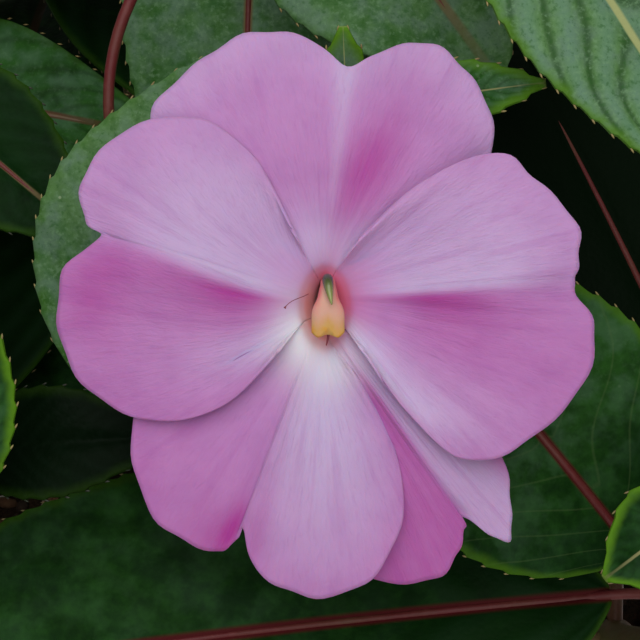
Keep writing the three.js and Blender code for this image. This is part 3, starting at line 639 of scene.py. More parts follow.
class Graph:
    """A material's nodes, made by short calls. Colours are given as they look on screen."""

    def __init__(self, name, **constants):
        self.material = bpy.data.materials.new(name)
        self.material.use_nodes = True
        self.nodes = self.material.node_tree.nodes
        self.shader = self.nodes["Principled BSDF"]
        for key, value in constants.items():
            self.shader.inputs[key.replace("_", " ")].default_value = value

    def node(self, kind, inputs, **settings):
        node = self.nodes.new("ShaderNode" + kind)
        for key, value in settings.items():
            setattr(node, key, value)
        for key, value in inputs.items():
            self.put(node.inputs[key], value)
        return node

    def put(self, socket, value):
        if isinstance(value, bpy.types.NodeSocket):
            self.material.node_tree.links.new(value, socket)
        else:
            socket.default_value = (*linear(value), 1) if socket.type == "RGBA" else value

    def value(self, name):
        return self.node("Attribute", {}, attribute_name=name).outputs["Fac"]

    def place(self):
        return self.node("TexCoord", {}).outputs["Object"]

    def stretched(self, *scale):
        return self.node("Mapping", {"Vector": self.place(), "Scale": scale}).outputs[0]

    def flow(self, across, along, third=0.0):
        """A place on a petal's or bud's own grid, stretched across and along."""
        x, y = self.times(self.value("across"), across), self.times(self.value("along"), along)
        return self.node("CombineXYZ", {"X": x, "Y": y, "Z": third}).outputs[0]

    def math(self, operation, *values):
        return self.node("Math", dict(enumerate(values)), operation=operation).outputs[0]

    def times(self, *values):
        return reduce(lambda a, b: self.math("MULTIPLY", a, b), values)

    def plus(self, *values):
        return reduce(lambda a, b: self.math("ADD", a, b), values)

    def ramp(self, value, low, high, start=0.0, end=1.0):
        inputs = {"Value": value, "From Min": low, "From Max": high, "To Min": start, "To Max": end}
        return self.node("MapRange", inputs, interpolation_type="SMOOTHSTEP").outputs["Result"]

    def mix(self, share, a, b):
        """Sockets 0, 6 and 7 of a colour mix are its share and its two colours, and output 2 the result."""
        return self.node("Mix", {0: share, 6: a, 7: b}, data_type="RGBA").outputs[2]

    def coats(self, color, *coats):
        """A colour with others laid over it in turn, each given with how much of it shows."""
        for share, coat in coats:
            color = self.mix(share, color, coat)
        return color

    def noise(self, scale, detail=3.0, roughness=0.55, distortion=0.0, place=None):
        inputs = {"Vector": place or self.place(), "Scale": scale, "Detail": detail,
                  "Roughness": roughness, "Distortion": distortion}
        return self.node("TexNoise", inputs).outputs["Fac"]

    def cells(self, scale):
        return self.node("TexVoronoi", {"Vector": self.place(), "Scale": scale}).outputs["Distance"]

    def bump(self, height, distance, strength, under=None):
        """The normal of a surface raised by a height, on top of the normal under it if one is given."""
        inputs = {"Height": height, "Distance": distance, "Strength": strength}
        if under:
            inputs["Normal"] = under
        return self.node("Bump", inputs).outputs["Normal"]

    def finish(self, color, normal=None, roughness=None):
        for key, value in (("Base Color", color), ("Normal", normal), ("Roughness", roughness)):
            if value:
                self.put(self.shader.inputs[key], value)
        return self.material


def petal_material():
    """Velvety petal: fine ripples along it, pale and magenta areas by the petal's own values, partly
    painted light and shade.
    """
    g = Graph("petal", Roughness=0.7, Sheen_Weight=0.15, Sheen_Roughness=0.5, Subsurface_Weight=0.3,
              Subsurface_Scale=0.0015, Specular_IOR_Level=0.2)
    own = g.value("petal")
    fan = g.noise(2.2, roughness=0.5, distortion=0.4, place=g.flow(9.0, 0.9, own))
    ripple = g.noise(2.0, roughness=0.6, distortion=0.5, place=g.flow(30.0, 7.0, own))
    mottle = g.noise(150.0)
    open_face = g.ramp(g.value("along"), 0.0, 0.4)
    uneven = g.plus(g.times(g.plus(fan, -0.5), 0.7), 1.0)
    color = g.coats(
        (186, 130, 187),
        (g.ramp(mottle, 0.35, 0.7), (176, 120, 178)),
        # pale: partly painted light on the flanks that face up
        (g.value("pale"), (196, 178, 212)),
        # magenta, partly painted shade below the crests and under overlapping petals
        (g.math("MINIMUM", g.times(g.value("streak_and_shade"), uneven), 1.0), (170, 56, 146)),
        (g.times(g.ramp(fan, 0.5, 0.72, 0.0, 0.2), open_face), (160, 86, 160)),
        (g.times(g.ramp(ripple, 0.5, 0.75, 0.0, 0.14), open_face), (156, 90, 158)),
        (g.value("white"), (214, 208, 216)),
        (g.value("rose"), (206, 72, 118)),
        (g.value("warm"), (204, 110, 92)),
        # deep: painted shade, dark red-brown deep in the throat
        (g.value("deep"), (150, 52, 40)),
    )
    waves = g.bump(g.times(g.plus(ripple, g.times(fan, 0.6)), open_face), 0.0003, 0.5)
    normal = g.bump(g.noise(2400.0, detail=2), 0.00003, 0.5, waves)
    return g.finish(color, normal, g.ramp(mottle, 0.3, 0.7, 0.64, 0.76))


def cup_material():
    g = Graph("throat_cup", Roughness=0.6, Subsurface_Weight=0.2, Subsurface_Scale=0.001)
    mottle = g.noise(500.0)
    color = g.mix(g.ramp(mottle, 0.4, 0.7), (150, 92, 92), (104, 60, 60))
    return g.finish(color, g.bump(mottle, 0.0002, 0.5))


def column_material():
    """Anther column: pink down its flanks, peach down its middle, yellow at its two lobes."""
    g = Graph("anther_column", Roughness=0.6, Subsurface_Weight=0.3, Subsurface_Scale=0.0008,
              Specular_IOR_Level=0.25)
    along = g.value("along")
    mottle = g.noise(900.0)
    color = g.coats(
        (206, 128, 132),
        (g.ramp(along, 0.3, 0.6), (206, 158, 140)),
        (g.times(g.ramp(g.value("side"), 0.35, 0.9), g.ramp(along, 0.9, 0.6)), (210, 114, 116)),
        (g.ramp(along, 0.8, 1.0), (204, 158, 86)),
        (g.times(g.ramp(mottle, 0.45, 0.65, 0.0, 0.7), g.ramp(along, 0.88, 1.0)), (208, 152, 54)),
    )
    return g.finish(color, g.bump(mottle, 0.00016, 0.6))


def green_tip_material():
    g = Graph("green_tip", Roughness=0.25, Coat_Weight=0.35, Coat_Roughness=0.15)
    # darker toward its top, where it runs in under the column's hood: painted shade
    color = g.mix(g.ramp(g.value("along"), 0.25, 0.9), (54, 66, 34), (132, 142, 76))
    return g.finish(color, g.bump(g.noise(1500.0), 0.0001, 0.4))


def thread_material():
    g = Graph("thread", Roughness=0.6)
    return g.finish(g.mix(g.noise(800.0), (150, 60, 70), (96, 30, 44)))


def vein_field(g):
    """Side veins: 0 on a vein to 1 midway between two."""
    return g.times(g.math("ABSOLUTE", g.plus(g.math("FRACT", g.value("vein")), -0.5)), 2.0)


def leaf_material():
    """Upper side of a leaf: green with sunken side veins, a midrib of its own red and a bright cut edge.
    Its bluish sheen is painted, as is the shade in its vein creases.
    """
    g = Graph("leaf", Roughness=0.5, Specular_IOR_Level=0.04)
    tone, ribbing, veins = g.value("tone"), g.value("ribbing"), vein_field(g)
    patch, soft = g.noise(90.0, detail=4), g.noise(260.0)
    blotch, grain = g.noise(640.0, roughness=0.6), g.noise(1500.0, roughness=0.65)
    light = g.ramp(tone, 0.1, 0.9)
    uneven = g.plus(patch, g.times(soft, 0.7), g.times(blotch, 0.6), -1.15)
    level = g.plus(tone, g.times(uneven, g.ramp(tone, -0.1, 0.6, 0.6, 1.0)))
    # strength: share of painted sheen on the puckered ridges between the side veins
    strength = g.times(ribbing, g.plus(g.times(light, 0.4), 0.06))
    # crease: painted shade in the sunken veins of ribbed leaves, the real pale vein colour where ribbing is
    # below 0;
    crease = g.mix(g.ramp(ribbing, 0.0, -0.4), g.mix(light, (6, 24, 4), (30, 62, 24)), (96, 120, 72))
    # thin masks the vein line, and wide spreads the painted shade out from the vein
    thin = g.times(g.ramp(veins, 0.1, 0.02), g.ramp(g.math("ABSOLUTE", ribbing), 0.0, 0.8, 0.05, 0.7))
    wide = g.times(g.ramp(veins, 0.42, 0.05), g.ramp(ribbing, 0.0, 0.8, 0.0, 0.65))
    margin = g.ramp(g.plus(g.value("edge"), g.times(soft, 1.6)), 2.3, 0.7)
    rib = g.times(g.ramp(g.value("rib"), 0.8, 0.35), g.ramp(g.value("along"), 0.98, 0.6, 0.3, 1.0))
    specks = g.times(g.ramp(g.cells(420.0), 0.1, 0.05), g.ramp(g.noise(160.0), 0.54, 0.62))
    color = g.coats(
        # the darkest greens stand partly for painted shade on leaves deep in the plant
        (3, 17, 3),
        (g.ramp(level, -0.7, -0.1), (12, 40, 10)),
        (g.ramp(level, -0.1, 0.5), (38, 82, 26)),
        (g.ramp(level, 0.4, 1.1), (88, 124, 76)),
        # painted sheen: a bluish reflection in soft patches, more on lighter leaves
        (g.times(g.ramp(soft, 0.4, 0.65), g.ramp(tone, -0.1, 0.9, 0.0, 0.55)), (92, 114, 104)),
        # painted sheen: bluish-green on the ridges midway between the side veins
        (g.times(g.ramp(veins, 0.3, 0.95), strength), (98, 132, 112)),
        # painted shade along the vein creases, pale veins where ribbing is below 0
        (g.times(g.math("MAXIMUM", thin, wide), g.ramp(tone, -0.7, 0.0)), crease),
        (g.times(g.ramp(grain, 0.5, 0.7, 0.0, 0.5), light), (108, 142, 104)),
        (g.times(g.ramp(grain, 0.46, 0.32, 0.0, 0.5), light), (40, 84, 34)),
        (g.times(margin, g.value("margin")), (78, 120, 24)),
        (g.times(rib, g.ramp(tone, -0.7, -0.2)), g.mix(g.value("red"), (150, 156, 104), (76, 22, 24))),
        (g.times(specks, g.times(light, 0.5)), (170, 186, 152)),
    )
    pebbled = g.bump(g.math("SUBTRACT", 1.0, g.cells(1300.0)), 0.0001, 0.45)
    return g.finish(color, g.bump(grain, 0.00006, 0.6, pebbled), g.ramp(patch, 0.3, 0.7, 0.46, 0.58))


def underside_material():
    g = Graph("leaf_underside", Roughness=0.6, Specular_IOR_Level=0.3)
    veins = vein_field(g)
    color = g.coats(
        (98, 124, 84),
        (g.ramp(g.noise(70.0), 0.3, 0.7), (84, 108, 72)),
        (g.times(g.ramp(veins, 0.16, 0.03), 0.5), (138, 120, 96)),
        (g.ramp(g.value("rib"), 1.1, 0.6), (132, 72, 70)),
    )
    return g.finish(color, g.bump(g.ramp(veins, 0.3, 0.0), 0.0003, 0.6))


def bristle_material():
    g = Graph("leaf_bristle", Roughness=0.5)
    pale = g.mix(g.noise(700.0), (160, 148, 88), (112, 88, 56))
    # dark on dark-toned leaves, following their painted shade
    return g.finish(g.mix(g.ramp(g.value("tone"), -0.3, 0.3), (30, 38, 18), pale))


def stem_material():
    """Stems and petioles: green flushed with maroon, with fine lengthwise streaks."""
    g = Graph("stem", Roughness=0.5, Specular_IOR_Level=0.3)
    patch = g.noise(120.0, detail=4)
    streaks = g.noise(1.0, place=g.stretched(900.0, 900.0, 60.0))
    color = g.coats(
        (88, 108, 62),
        (g.ramp(g.plus(g.value("flush"), g.times(g.plus(patch, -0.5), 0.6)), 0.0, 1.0), (96, 28, 32)),
        (g.ramp(streaks, 0.5, 0.75, 0.0, 0.2), (132, 70, 66)),
    )
    return g.finish(color, g.bump(streaks, 0.00015, 0.6))


def calyx_material():
    g = Graph("calyx", Roughness=0.45, Subsurface_Weight=0.15, Subsurface_Scale=0.001)
    patch = g.noise(300.0)
    color = g.coats(
        (150, 120, 84),
        (g.ramp(g.value("along"), 0.0, 0.6), (166, 62, 84)),
        (g.ramp(patch, 0.4, 0.7, 0.0, 0.4), (120, 108, 66)),
    )
    return g.finish(color, g.bump(patch, 0.0001, 0.5))


def bud_material():
    g = Graph("bud", Roughness=0.5, Sheen_Weight=0.2, Subsurface_Weight=0.2, Subsurface_Scale=0.001)
    along = g.value("along")
    lines = g.noise(1.5, place=g.flow(16.0, 1.0))
    color = g.coats(
        (132, 140, 84),
        (g.ramp(along, 0.05, 0.45), (206, 122, 168)),
        (g.ramp(along, 0.6, 1.0, 0.0, 0.6), (216, 150, 200)),
        (g.ramp(lines, 0.5, 0.7, 0.0, 0.35), (160, 62, 120)),
    )
    return g.finish(color, g.bump(lines, 0.0002, 0.6))


def clay_material():
    """Terracotta: turning lines, mottled firing colour, pale salts low down and worn edges."""
    g = Graph("clay", Roughness=0.88, Specular_IOR_Level=0.25)
    height = g.node("SeparateXYZ", {"Vector": g.place()}).outputs["Z"]
    patch = g.noise(22.0, detail=5, roughness=0.6)
    grit = g.noise(900.0, detail=4)
    salts = g.noise(48.0, detail=6, roughness=0.7)
    rings = g.noise(1.0, place=g.stretched(3.0, 3.0, 620.0))
    color = g.coats(
        (182, 106, 72),
        (g.ramp(patch, 0.35, 0.68), (204, 132, 94)),
        (g.ramp(grit, 0.55, 0.75, 0.0, 0.4), (148, 80, 54)),
        (g.ramp(rings, 0.5, 0.7, 0.0, 0.2), (220, 160, 122)),
        (g.times(g.ramp(height, 0.062, 0.004), g.ramp(salts, 0.5, 0.66, 0.0, 0.55)), (226, 206, 188)),
        (g.times(g.ramp(salts, 0.6, 0.72), 0.3), (222, 196, 172)),
        (g.times(g.value("worn"), g.ramp(grit, 0.3, 0.6, 0.2, 0.75)), (222, 158, 120)),
    )
    normal = g.bump(grit, 0.00018, 0.7, g.bump(rings, 0.0004, 0.5))
    return g.finish(color, normal, g.ramp(patch, 0.3, 0.7, 0.82, 0.95))


def peat_material():
    g = Graph("peat", Roughness=0.95, Specular_IOR_Level=0.2)
    crumbs = g.noise(420.0, detail=5, roughness=0.7)
    color = g.coats(
        (14, 10, 7),
        (g.ramp(crumbs, 0.3, 0.7), (52, 38, 27)),
        (g.ramp(g.noise(60.0), 0.45, 0.75, 0.0, 0.4), (70, 52, 36)),
    )
    return g.finish(color, g.bump(crumbs, 0.0012, 0.9))


def crumb_material(name, dark, light):
    g = Graph(name, Roughness=0.9)
    return g.finish(g.mix(g.noise(500.0, detail=4), dark, light), g.bump(g.noise(900.0), 0.0003, 0.8))


def floor_material():
    g = Graph("floor", Roughness=0.7)
    return g.finish(g.mix(g.noise(3.0), (223.3, 223.3, 221.9), (228.5, 228.5, 227.2)))


# Pot and soil


def wall_radius(z):
    return lerp(POT_FOOT_RADIUS, POT_RIM_RADIUS - POT_COLLAR_STEP, z / POT_HEIGHT)


def rounded(corners, steps=5):
    """A closed outline with its corners rounded: each corner is a point and its radius."""
    outline = []
    for k, (x, z, radius) in enumerate(corners):
        here = vec(x, z)
        if radius == 0:
            outline.append(here)
            continue
        before, after = vec(*corners[k - 1][:2]), vec(*corners[k + 1][:2])
        start, end = here + unit(before - here) * radius, here + unit(after - here) * radius
        for t in np.arange(steps + 1) / steps:
            outline.append(lerp(lerp(start, here, t), lerp(here, end, t), t))
    return np.array(outline)


def lathe(outline, sides):
    """A turned solid whose outline starts and ends on the axis: its points and faces."""
    inner, angles = outline[1:-1], turns(sides)
    width, height = inner[:, :1], inner[:, 1:]
    rings = np.stack([width * np.cos(angles), width * np.sin(angles), height + 0 * angles], axis=-1)
    points = np.concatenate([rings.reshape(-1, 3), [[0, 0, outline[0, 1]], [0, 0, outline[-1, 1]]]])
    k = np.arange(sides)
    after, top = (k + 1) % sides, (len(inner) - 1) * sides
    first = np.stack([0 * k + len(points) - 2, after, k], axis=-1)
    last = np.stack([0 * k + len(points) - 1, top + k, top + after], axis=-1)
    return points, [grid_quads(len(inner), sides, wrap=True), first, last]


def drill(pot, x, y):
    """Cuts a drain hole with a drill longer than the floor is thick."""
    bpy.ops.mesh.primitive_cylinder_add(
        vertices=DRAIN_SIDES, radius=DRAIN_RADIUS * MM, depth=0.02, location=vec(x, y, POT_FLOOR / 2) * MM
    )
    bit = bpy.context.object
    cut = pot.modifiers.new("drain", "BOOLEAN")
    cut.operation = "DIFFERENCE"
    cut.object = bit
    with bpy.context.temp_override(object=pot, active_object=pot, selected_objects=[pot]):
        bpy.ops.object.modifier_apply(modifier=cut.name)
    bpy.data.objects.remove(bit)


def build_pot():
    collar = POT_HEIGHT - POT_COLLAR_HEIGHT
    outline = rounded([
        (0, 0, 0),
        (POT_FOOT_RADIUS, 0, 1.6),
        (wall_radius(collar), collar, 0.8),
        (wall_radius(collar + 1) + POT_COLLAR_STEP - 0.6, collar + 1, 1.0),
        (POT_RIM_RADIUS, POT_HEIGHT, 1.8),
        (wall_radius(POT_HEIGHT) - POT_WALL + 1, POT_HEIGHT, 1.8),
        (wall_radius(POT_FLOOR) - POT_WALL, POT_FLOOR, 1.5),
        (0, POT_FLOOR, 0),
    ])
    points, faces = lathe(outline, POT_SIDES)
    height = points[:, 2]
    pieces = Pieces("worn")
    worn = smooth(height, POT_HEIGHT - 3, POT_HEIGHT) + smooth(height, 2.5, 0) * 0.6
    pieces.add(points, *((face, 0) for face in faces), worn=worn)
    pot = pieces.build("clay_pot", [clay_material()], "clay", "pot")
    for k in range(DRAIN_HOLES):
        turn = math.radians(90 + 360 / DRAIN_HOLES * k)
        drill(pot, DRAIN_RING * math.cos(turn), DRAIN_RING * math.sin(turn))


def soil_height(x, y):
    coarse = np.sin(x * 0.16 + 1.1) * np.cos(y * 0.14 - 0.4)
    fine = np.sin(x * 0.37 - y * 0.29) * 0.6
    return SOIL_TOP + SOIL_RELIEF * (coarse + fine)


def build_soil():
    rng = np.random.default_rng(SOIL_SEED)
    shoulder, floor = SOIL_TOP - SOIL_SHOULDER, POT_FLOOR + SEAT_GAP
    inner = wall_radius(shoulder) - POT_WALL - SEAT_GAP
    foot = wall_radius(POT_FLOOR) - POT_WALL - SEAT_GAP
    outline = [(0, floor), (foot, floor), (inner, shoulder)]
    outline += [(inner * share, SOIL_TOP) for share in np.linspace(1, 0, SOIL_RINGS)]
    points, faces = lathe(np.array(outline), SOIL_SIDES)
    top = points[:, 2] > SOIL_TOP - 0.01
    x, y = points[top, :2].T
    crumble = rng.normal(0, 0.22, top.sum())
    crumble += 0.35 * np.sin(x * 1.3 + 2 * np.sin(y * 0.9)) * np.cos(y * 1.1)
    edge_drop = SOIL_EDGE_DROP * smooth(np.hypot(x, y), inner - 4, inner)
    points[top, 2] = soil_height(x, y) + crumble - edge_drop
    for foot_x, foot_y in (shoot["foot"] for shoot in SHOOTS.values()):
        points[top, 2] -= STEM_DIMPLE * hill(np.hypot(x - foot_x, y - foot_y), 0, 6)
    pieces = Pieces()
    pieces.add(points, *((face, 0) for face in faces))
    pieces.build("potting_soil", [peat_material()], "peat", "soil")
    scatter_crumbs(rng, inner - 3)


def icosahedron():
    """The corners of an icosahedron, about 1 from its middle, and its faces turned outward.

    Three corners whose sum is longer than 4.5 are all neighbours, so they make a face."""
    far = (1 + 5**0.5) / 2
    corners = np.array([np.roll((b, a, 0), k) for k in range(3) for a in (far, -far) for b in (-1, 1)])
    faces = []
    for face in permutations(range(12), 3):
        three = corners[[*face]]
        neighbours = np.linalg.norm(three.sum(axis=0)) > 4.5
        if face[0] == min(face) and neighbours and np.linalg.det(three) > 0:
            faces.append(face)
    return corners / 1.9, np.array(faces)


# What lies on the soil: its material, how many, their sizes, how they are squashed, dark and light
CRUMBS = {
    "peat_crumbs": ("peat_crumb", 1500, (0.5, 1.5), (1, 1, 0.8), (22, 15, 11), (70, 50, 36)),
    "bark_chips": ("bark", 130, (1.6, 3.6), (1.4, 0.6, 0.3), (58, 38, 25), (112, 78, 52)),
    "perlite": ("perlite", 110, (0.7, 1.5), (1, 1, 0.9), (206, 202, 192), (236, 234, 228)),
}


def scatter_crumbs(rng, reach):
    """Small rough lumps on the soil, clear of the stems."""
    corners, faces = icosahedron()
    for name, (material, count, sizes, squash, dark, light) in CRUMBS.items():
        pieces = Pieces()
        for _ in range(count):
            distance, turn = reach * math.sqrt(rng.uniform()), rng.uniform(0, 2 * math.pi)
            x, y, size = distance * math.cos(turn), distance * math.sin(turn), rng.uniform(*sizes)
            lump = corners * rng.uniform(*CRUMB_ROUGHNESS, (12, 1)) * size * squash
            turn = rng.uniform(0, 2 * math.pi)
            lump = lump @ [heading(turn, 0), heading(turn + math.pi / 2, 0), (0, 0, 1)]
            near = min(math.dist((x, y), shoot["foot"]) for shoot in SHOOTS.values())
            if near > STEM_FOOT_RADIUS + CRUMB_MARGIN + size:
                height = soil_height(x, y) + size * squash[2] * CRUMB_LIFT
                pieces.add(lump + vec(x, y, height), (faces, 0))
        pieces.build(name, [crumb_material(material, dark, light)], "peat")


# Leafy shoots


def vein_phase(leaf, s, u):
    """Counts the side veins up from the base, on their forward curve and unevenly spaced."""
    phase = (s - VEIN_REACH * np.abs(u) ** VEIN_BEND) * VEINS + 0.45 * smooth(u, 0.0, 0.08)
    seed = leaf["width"] + 3 * leaf["phase"]
    uneven = 0.24 * np.sin(9.1 * s + seed + 1.5 * np.sign(u)) + 0.13 * np.sin(21.7 * s + 2 * seed)
    return phase + uneven * smooth(np.abs(u), 0.0, 0.1) + 0.1 * np.sin(5 * u + 13 * s + seed)


def blade_values(leaf, s, u, tone):
    """What the leaf's material needs to know of each point."""
    half = leaf["width"] / 2 * blade_shape(s)
    # tone falls toward the base by BASE_SHADE: painted shade, the leaf's base lying deeper in the plant
    out = np.abs(u) * half
    return dict(
        vein=vein_phase(leaf, s, u), along=s, rib=out * USUAL_WIDTH / leaf["width"], edge=half - out,
        tone=tone - BASE_SHADE * smooth(s, 0.45, 0.0), red=leaf["red"], ribbing=leaf["ribbing"],
        margin=leaf["margin"],
    )


def tip_settling(leaf, s, u):
    """Takes the wave out of the blade's last fifth, so that both sides meet in one tip."""
    return -blade_wave(leaf, s, u) * smooth(s, 0.8, 1.0)


def blade_relief(leaf, s, u):
    """Height of the upper side: sunk midrib and side veins, with the blade puckered up between them."""
    between = np.abs(vein_phase(leaf, s, u) % 1.0 - 0.5) * 2
    inside = smooth(np.abs(u), 1.0, 0.75) * smooth(s, 0.0, 0.08) * smooth(s, 1.0, 0.9)
    height = leaf["width"] * PUCKER * max(leaf["ribbing"], 0) * smooth(np.abs(u), 0.0, 0.2)
    groove = 0.5 * hill(np.abs(u) * leaf["width"] / 2, 0, 1.2) * smooth(s, 1.0, 0.6)
    return height * np.sin(np.pi / 2 * between) * inside - groove


def add_blade(blades, leaf, tone):
    near = leaf["near"]
    teeth = max(4, round(blade_axes(leaf)[3] / TOOTH_PITCH))
    rows, columns = (teeth * 4 + 1, 33) if near else (max(24, teeth + 1), 17)
    s, u = np.meshgrid(np.linspace(0.004, 0.999, rows), np.linspace(-1, 1, columns), indexing="ij")
    saw = (s * teeth) % 1.0
    reach = near * TOOTH_HEIGHT * saw**1.5 * smooth(s, 0.03, 0.12) * np.abs(u) ** 12
    points = blade_points(leaf, s, u, reach, blade_relief(leaf, s, u) + tip_settling(leaf, s, u))
    blades.add_sheet(points, BLADE_SKIN, under=1, **blade_values(leaf, s, u, tone))
    add_bristles(blades, leaf, teeth, tone)


def add_bristles(blades, leaf, teeth, tone):
    """A short pale bristle on each tooth, a closed capsule that lies along the margin to the tip."""
    up = blade_axes(leaf)[2]
    s = (np.arange(1, teeth) + TOOTH_PEAK) / teeth
    s = s[s < 0.985]
    sides, rings = (6, 5) if leaf["near"] else (3, 3)
    share = np.linspace(0, 1, rings)[:, None]
    thick = BRISTLE_RADIUS * np.sqrt(np.clip(1 - (2 * share - 1) ** 2, 0.02, 1))
    for way in (-1.0, 1.0):
        u = np.full(s.shape, way)
        root = blade_points(leaf, s, u, TOOTH_HEIGHT * 0.5, tip_settling(leaf, s, u))
        ahead = unit(blade_points(leaf, s + 0.01, u) - blade_points(leaf, s - 0.01, u))
        outward = unit(blade_points(leaf, s, u, 1.0) - blade_points(leaf, s, u))
        for foot, axis in zip(root, unit(ahead + outward * BRISTLE_LEAN)):
            wide = unit(np.cross(axis, up))
            spine = foot + axis * BRISTLE_LENGTH * (share - BRISTLE_SUNK)
            ring = circle(sides, wide, np.cross(axis, wide))
            blades.add_rings(spine[:, None] + ring * thick[..., None], index=2, tone=tone)


def add_stem(stems, name, leaves):
    """A stem from the bottom of its hole to its tip, swollen where its leaves spring."""
    t = np.linspace(0, 1, 90)
    ground = CURVES[name][0]
    below = np.linspace(ground - vec(0, 0, HOLE_DEPTH + STEM_RISE - SEAT_GAP), ground, 8)[:-1]
    line = np.concatenate([below, bezier(CURVES[name], t)])
    t = np.concatenate([0 * below[:, 0], t])
    swelling = sum(NODE_SWELLING * hill(t, at, 0.012) for at in sorted({leaf["at"] for leaf in leaves}))
    stems.add_tube(line, stem_radius(t) + swelling, STEM_SIDES, flush=lerp(0.75, 0.35, t))


def add_petiole(stems, leaf):
    """A leaf's stalk, which runs on under its blade as the midrib."""
    near = leaf["near"]
    share, s = np.linspace(0, 1, 22), np.linspace(0.0, 0.8, 26)[1:]
    depth = RED_MIDRIB_DEPTH if leaf["red"] > 0.5 else GREEN_MIDRIB_DEPTH
    midrib = blade_points(leaf, s, 0.0 * s) - blade_axes(leaf)[2] * depth
    thick = NEAR_PETIOLE_RADIUS if near else PETIOLE_RADIUS
    radii = thick * np.concatenate([lerp(1.15, 0.9, share), MIDRIB_SHARE * lerp(1.0, 0.3, s)])
    line = np.concatenate([bezier(petiole_curve(leaf), share), midrib])
    stems.add_tube(line, radii, PETIOLE_SIDES, flush=0.85 if near else 0.6)


def build_shoot(name, leaves, materials):
    blades = Pieces("vein", "along", "rib", "edge", "tone", "red", "ribbing", "margin")
    stems = Pieces("flush")
    rng = np.random.default_rng(sum(map(ord, name)))
    add_stem(stems, name, leaves)
    for leaf in leaves:
        add_blade(blades, leaf, leaf["tone"] + (0 if leaf["near"] else rng.uniform(-0.2, 0.2)))
        add_petiole(stems, leaf)
    blades.build("leaves_" + name, materials["leaf"], "foliage", "shoot_" + name)
    stems.build("stem_" + name, materials["stem"], "foliage", "shoot_" + name)


# Blooms

# Petals: margin points from one side of the throat round to the other, notch in the middle, the
# ring angles that the petal springs from, and how its face is modelled. Its crest ends at the notch
# and its bend is how far the crest swings aside at the throat.
PETALS = {
    "standard": dict(
        springs=(117, 63), layer=-1.5, ridge=0.5, slant=0, bend=0, swell=0.7,
        margin=[(-10.7, 11.9), (-19.3, 17.6), (-20.6, 22.8), (-15.4, 28.7), (-8.9, 32), (-2.2, 31.7),
                (2.6, 27.9), (7.2, 30.2), (12.9, 30.6), (17.6, 27), (20.1, 20.5), (18.4, 13), (11.3, 7.7)]),
    "left": dict(
        springs=(116, 206), layer=0.65, ridge=1.8, slant=1, bend=0.24, swell=0.4,
        margin=[(-4.6, 9.6), (-8.6, 17), (-15.4, 21.8), (-23.7, 20.1), (-28.9, 14.9), (-28.4, 9.4),
                (-26.9, 7.4), (-31, 3.6), (-32, -3.6), (-28.2, -10.6), (-21.2, -14.4), (-12.4, -12.7),
                (-6.2, -6.8)]),
    "right": dict(
        springs=(64, -36), layer=1.1, ridge=1.7, slant=1, bend=0, swell=0.4,
        margin=[(4.4, 7.6), (11.9, 14.2), (20.4, 17.4), (25.4, 14.2), (30, 8.6), (30.2, 4), (29.5, 1.4),
                (32.3, -3.2), (30.2, -10.7), (23.7, -17.2), (16.2, -18.8), (9.6, -13.2), (4.8, -6.4)]),
    "lower_left": dict(
        springs=(204, 284), layer=-0.5, ridge=0.9, slant=-0.4, bend=0, swell=0.2,
        margin=[(-11.3, -7.6), (-21.4, -11.6), (-23.2, -18.4), (-19.8, -26.7), (-14, -30.2), (-10.9, -29),
                (-9.8, -27.6), (-7.9, -32.6), (-2, -35.7), (5.6, -33.2), (9.3, -26), (7.9, -16.8),
                (3.6, -9)]),
    "lower_right": dict(
        springs=(280, 322), layer=-1.8, ridge=1.1, slant=-0.8, bend=0, swell=0.2,
        margin=[(2.6, -14), (2.4, -26.5), (5.3, -33.4), (12.4, -34), (15.9, -30.6), (16.9, -27.4),
                (16.6, -25.9), (19.6, -28.1), (22.3, -28.7), (22.4, -24.4), (20.9, -18.2), (15, -11.2),
                (7.4, -5.6)]),
}


def margin_points(margin, share):
    """Points of the smooth curve through the margin's points, at shares from 0 to 1 along it."""
    points = np.array(margin, float)
    place = np.clip(share, 0, 1) * (len(points) - 1)
    k = np.minimum(place.astype(int), len(points) - 2)
    w = (place - k)[:, None]
    p0, p1 = points[np.maximum(k - 1, 0)], points[k]
    p2, p3 = points[k + 1], points[np.minimum(k + 2, len(points) - 1)]
    v0, v1 = (p2 - p0) / 2, (p3 - p1) / 2
    return (2 * p1 - 2 * p2 + v0 + v1) * w**3 + (3 * p2 - 3 * p1 - 2 * v0 - v1) * w**2 + v0 * w + p1


def petal_face(petal, phase, s, out, x, y):
    """Height of a petal's face: its crest, swell and droop, with ruffles toward its margin."""
    crest = np.exp((0.1 - np.sqrt(s * s + 0.01)) / np.where(petal["slant"] * s > 0, 0.2, 0.5))
    ridge = petal["ridge"] * crest * np.sin(np.pi * np.minimum(out, 0.94))
    swell = petal["swell"] * np.sin(np.pi * out)
    foot = petal_foot(petal)
    rise = foot + (petal["layer"] - foot) * smooth(out, 0.15, 0.95)
    ruffle = (0.42 * np.sin(5.1 * s + phase) + 0.28 * np.sin(11.3 * s + 2.3 * phase)) * out**3
    crinkle = 0.04 * np.sin(58 * s + 3 * np.sin(3 * s + phase)) * np.sin(np.pi * out)
    return rise + ridge + swell - PETAL_DROOP * (x * x + y * y) + ruffle + crinkle


def petal_foot(petal):
    """Height at which a petal's face leaves the throat, a little apart for each layer."""
    return 0.07 * petal["layer"] - 1.2


def throat_dip(foot, far, down):
    """How far a petal dips into the throat: a funnel on its face, then its claw."""
    steep = FUNNEL_DROP / FUNNEL_REACH * CLAW_NARROWING * np.pi / 2
    depth = foot - FUNNEL_DROP - THROAT_FLOOR
    return FUNNEL_DROP * np.exp(-far / FUNNEL_REACH) + steep * down + (depth - steep) * down**3


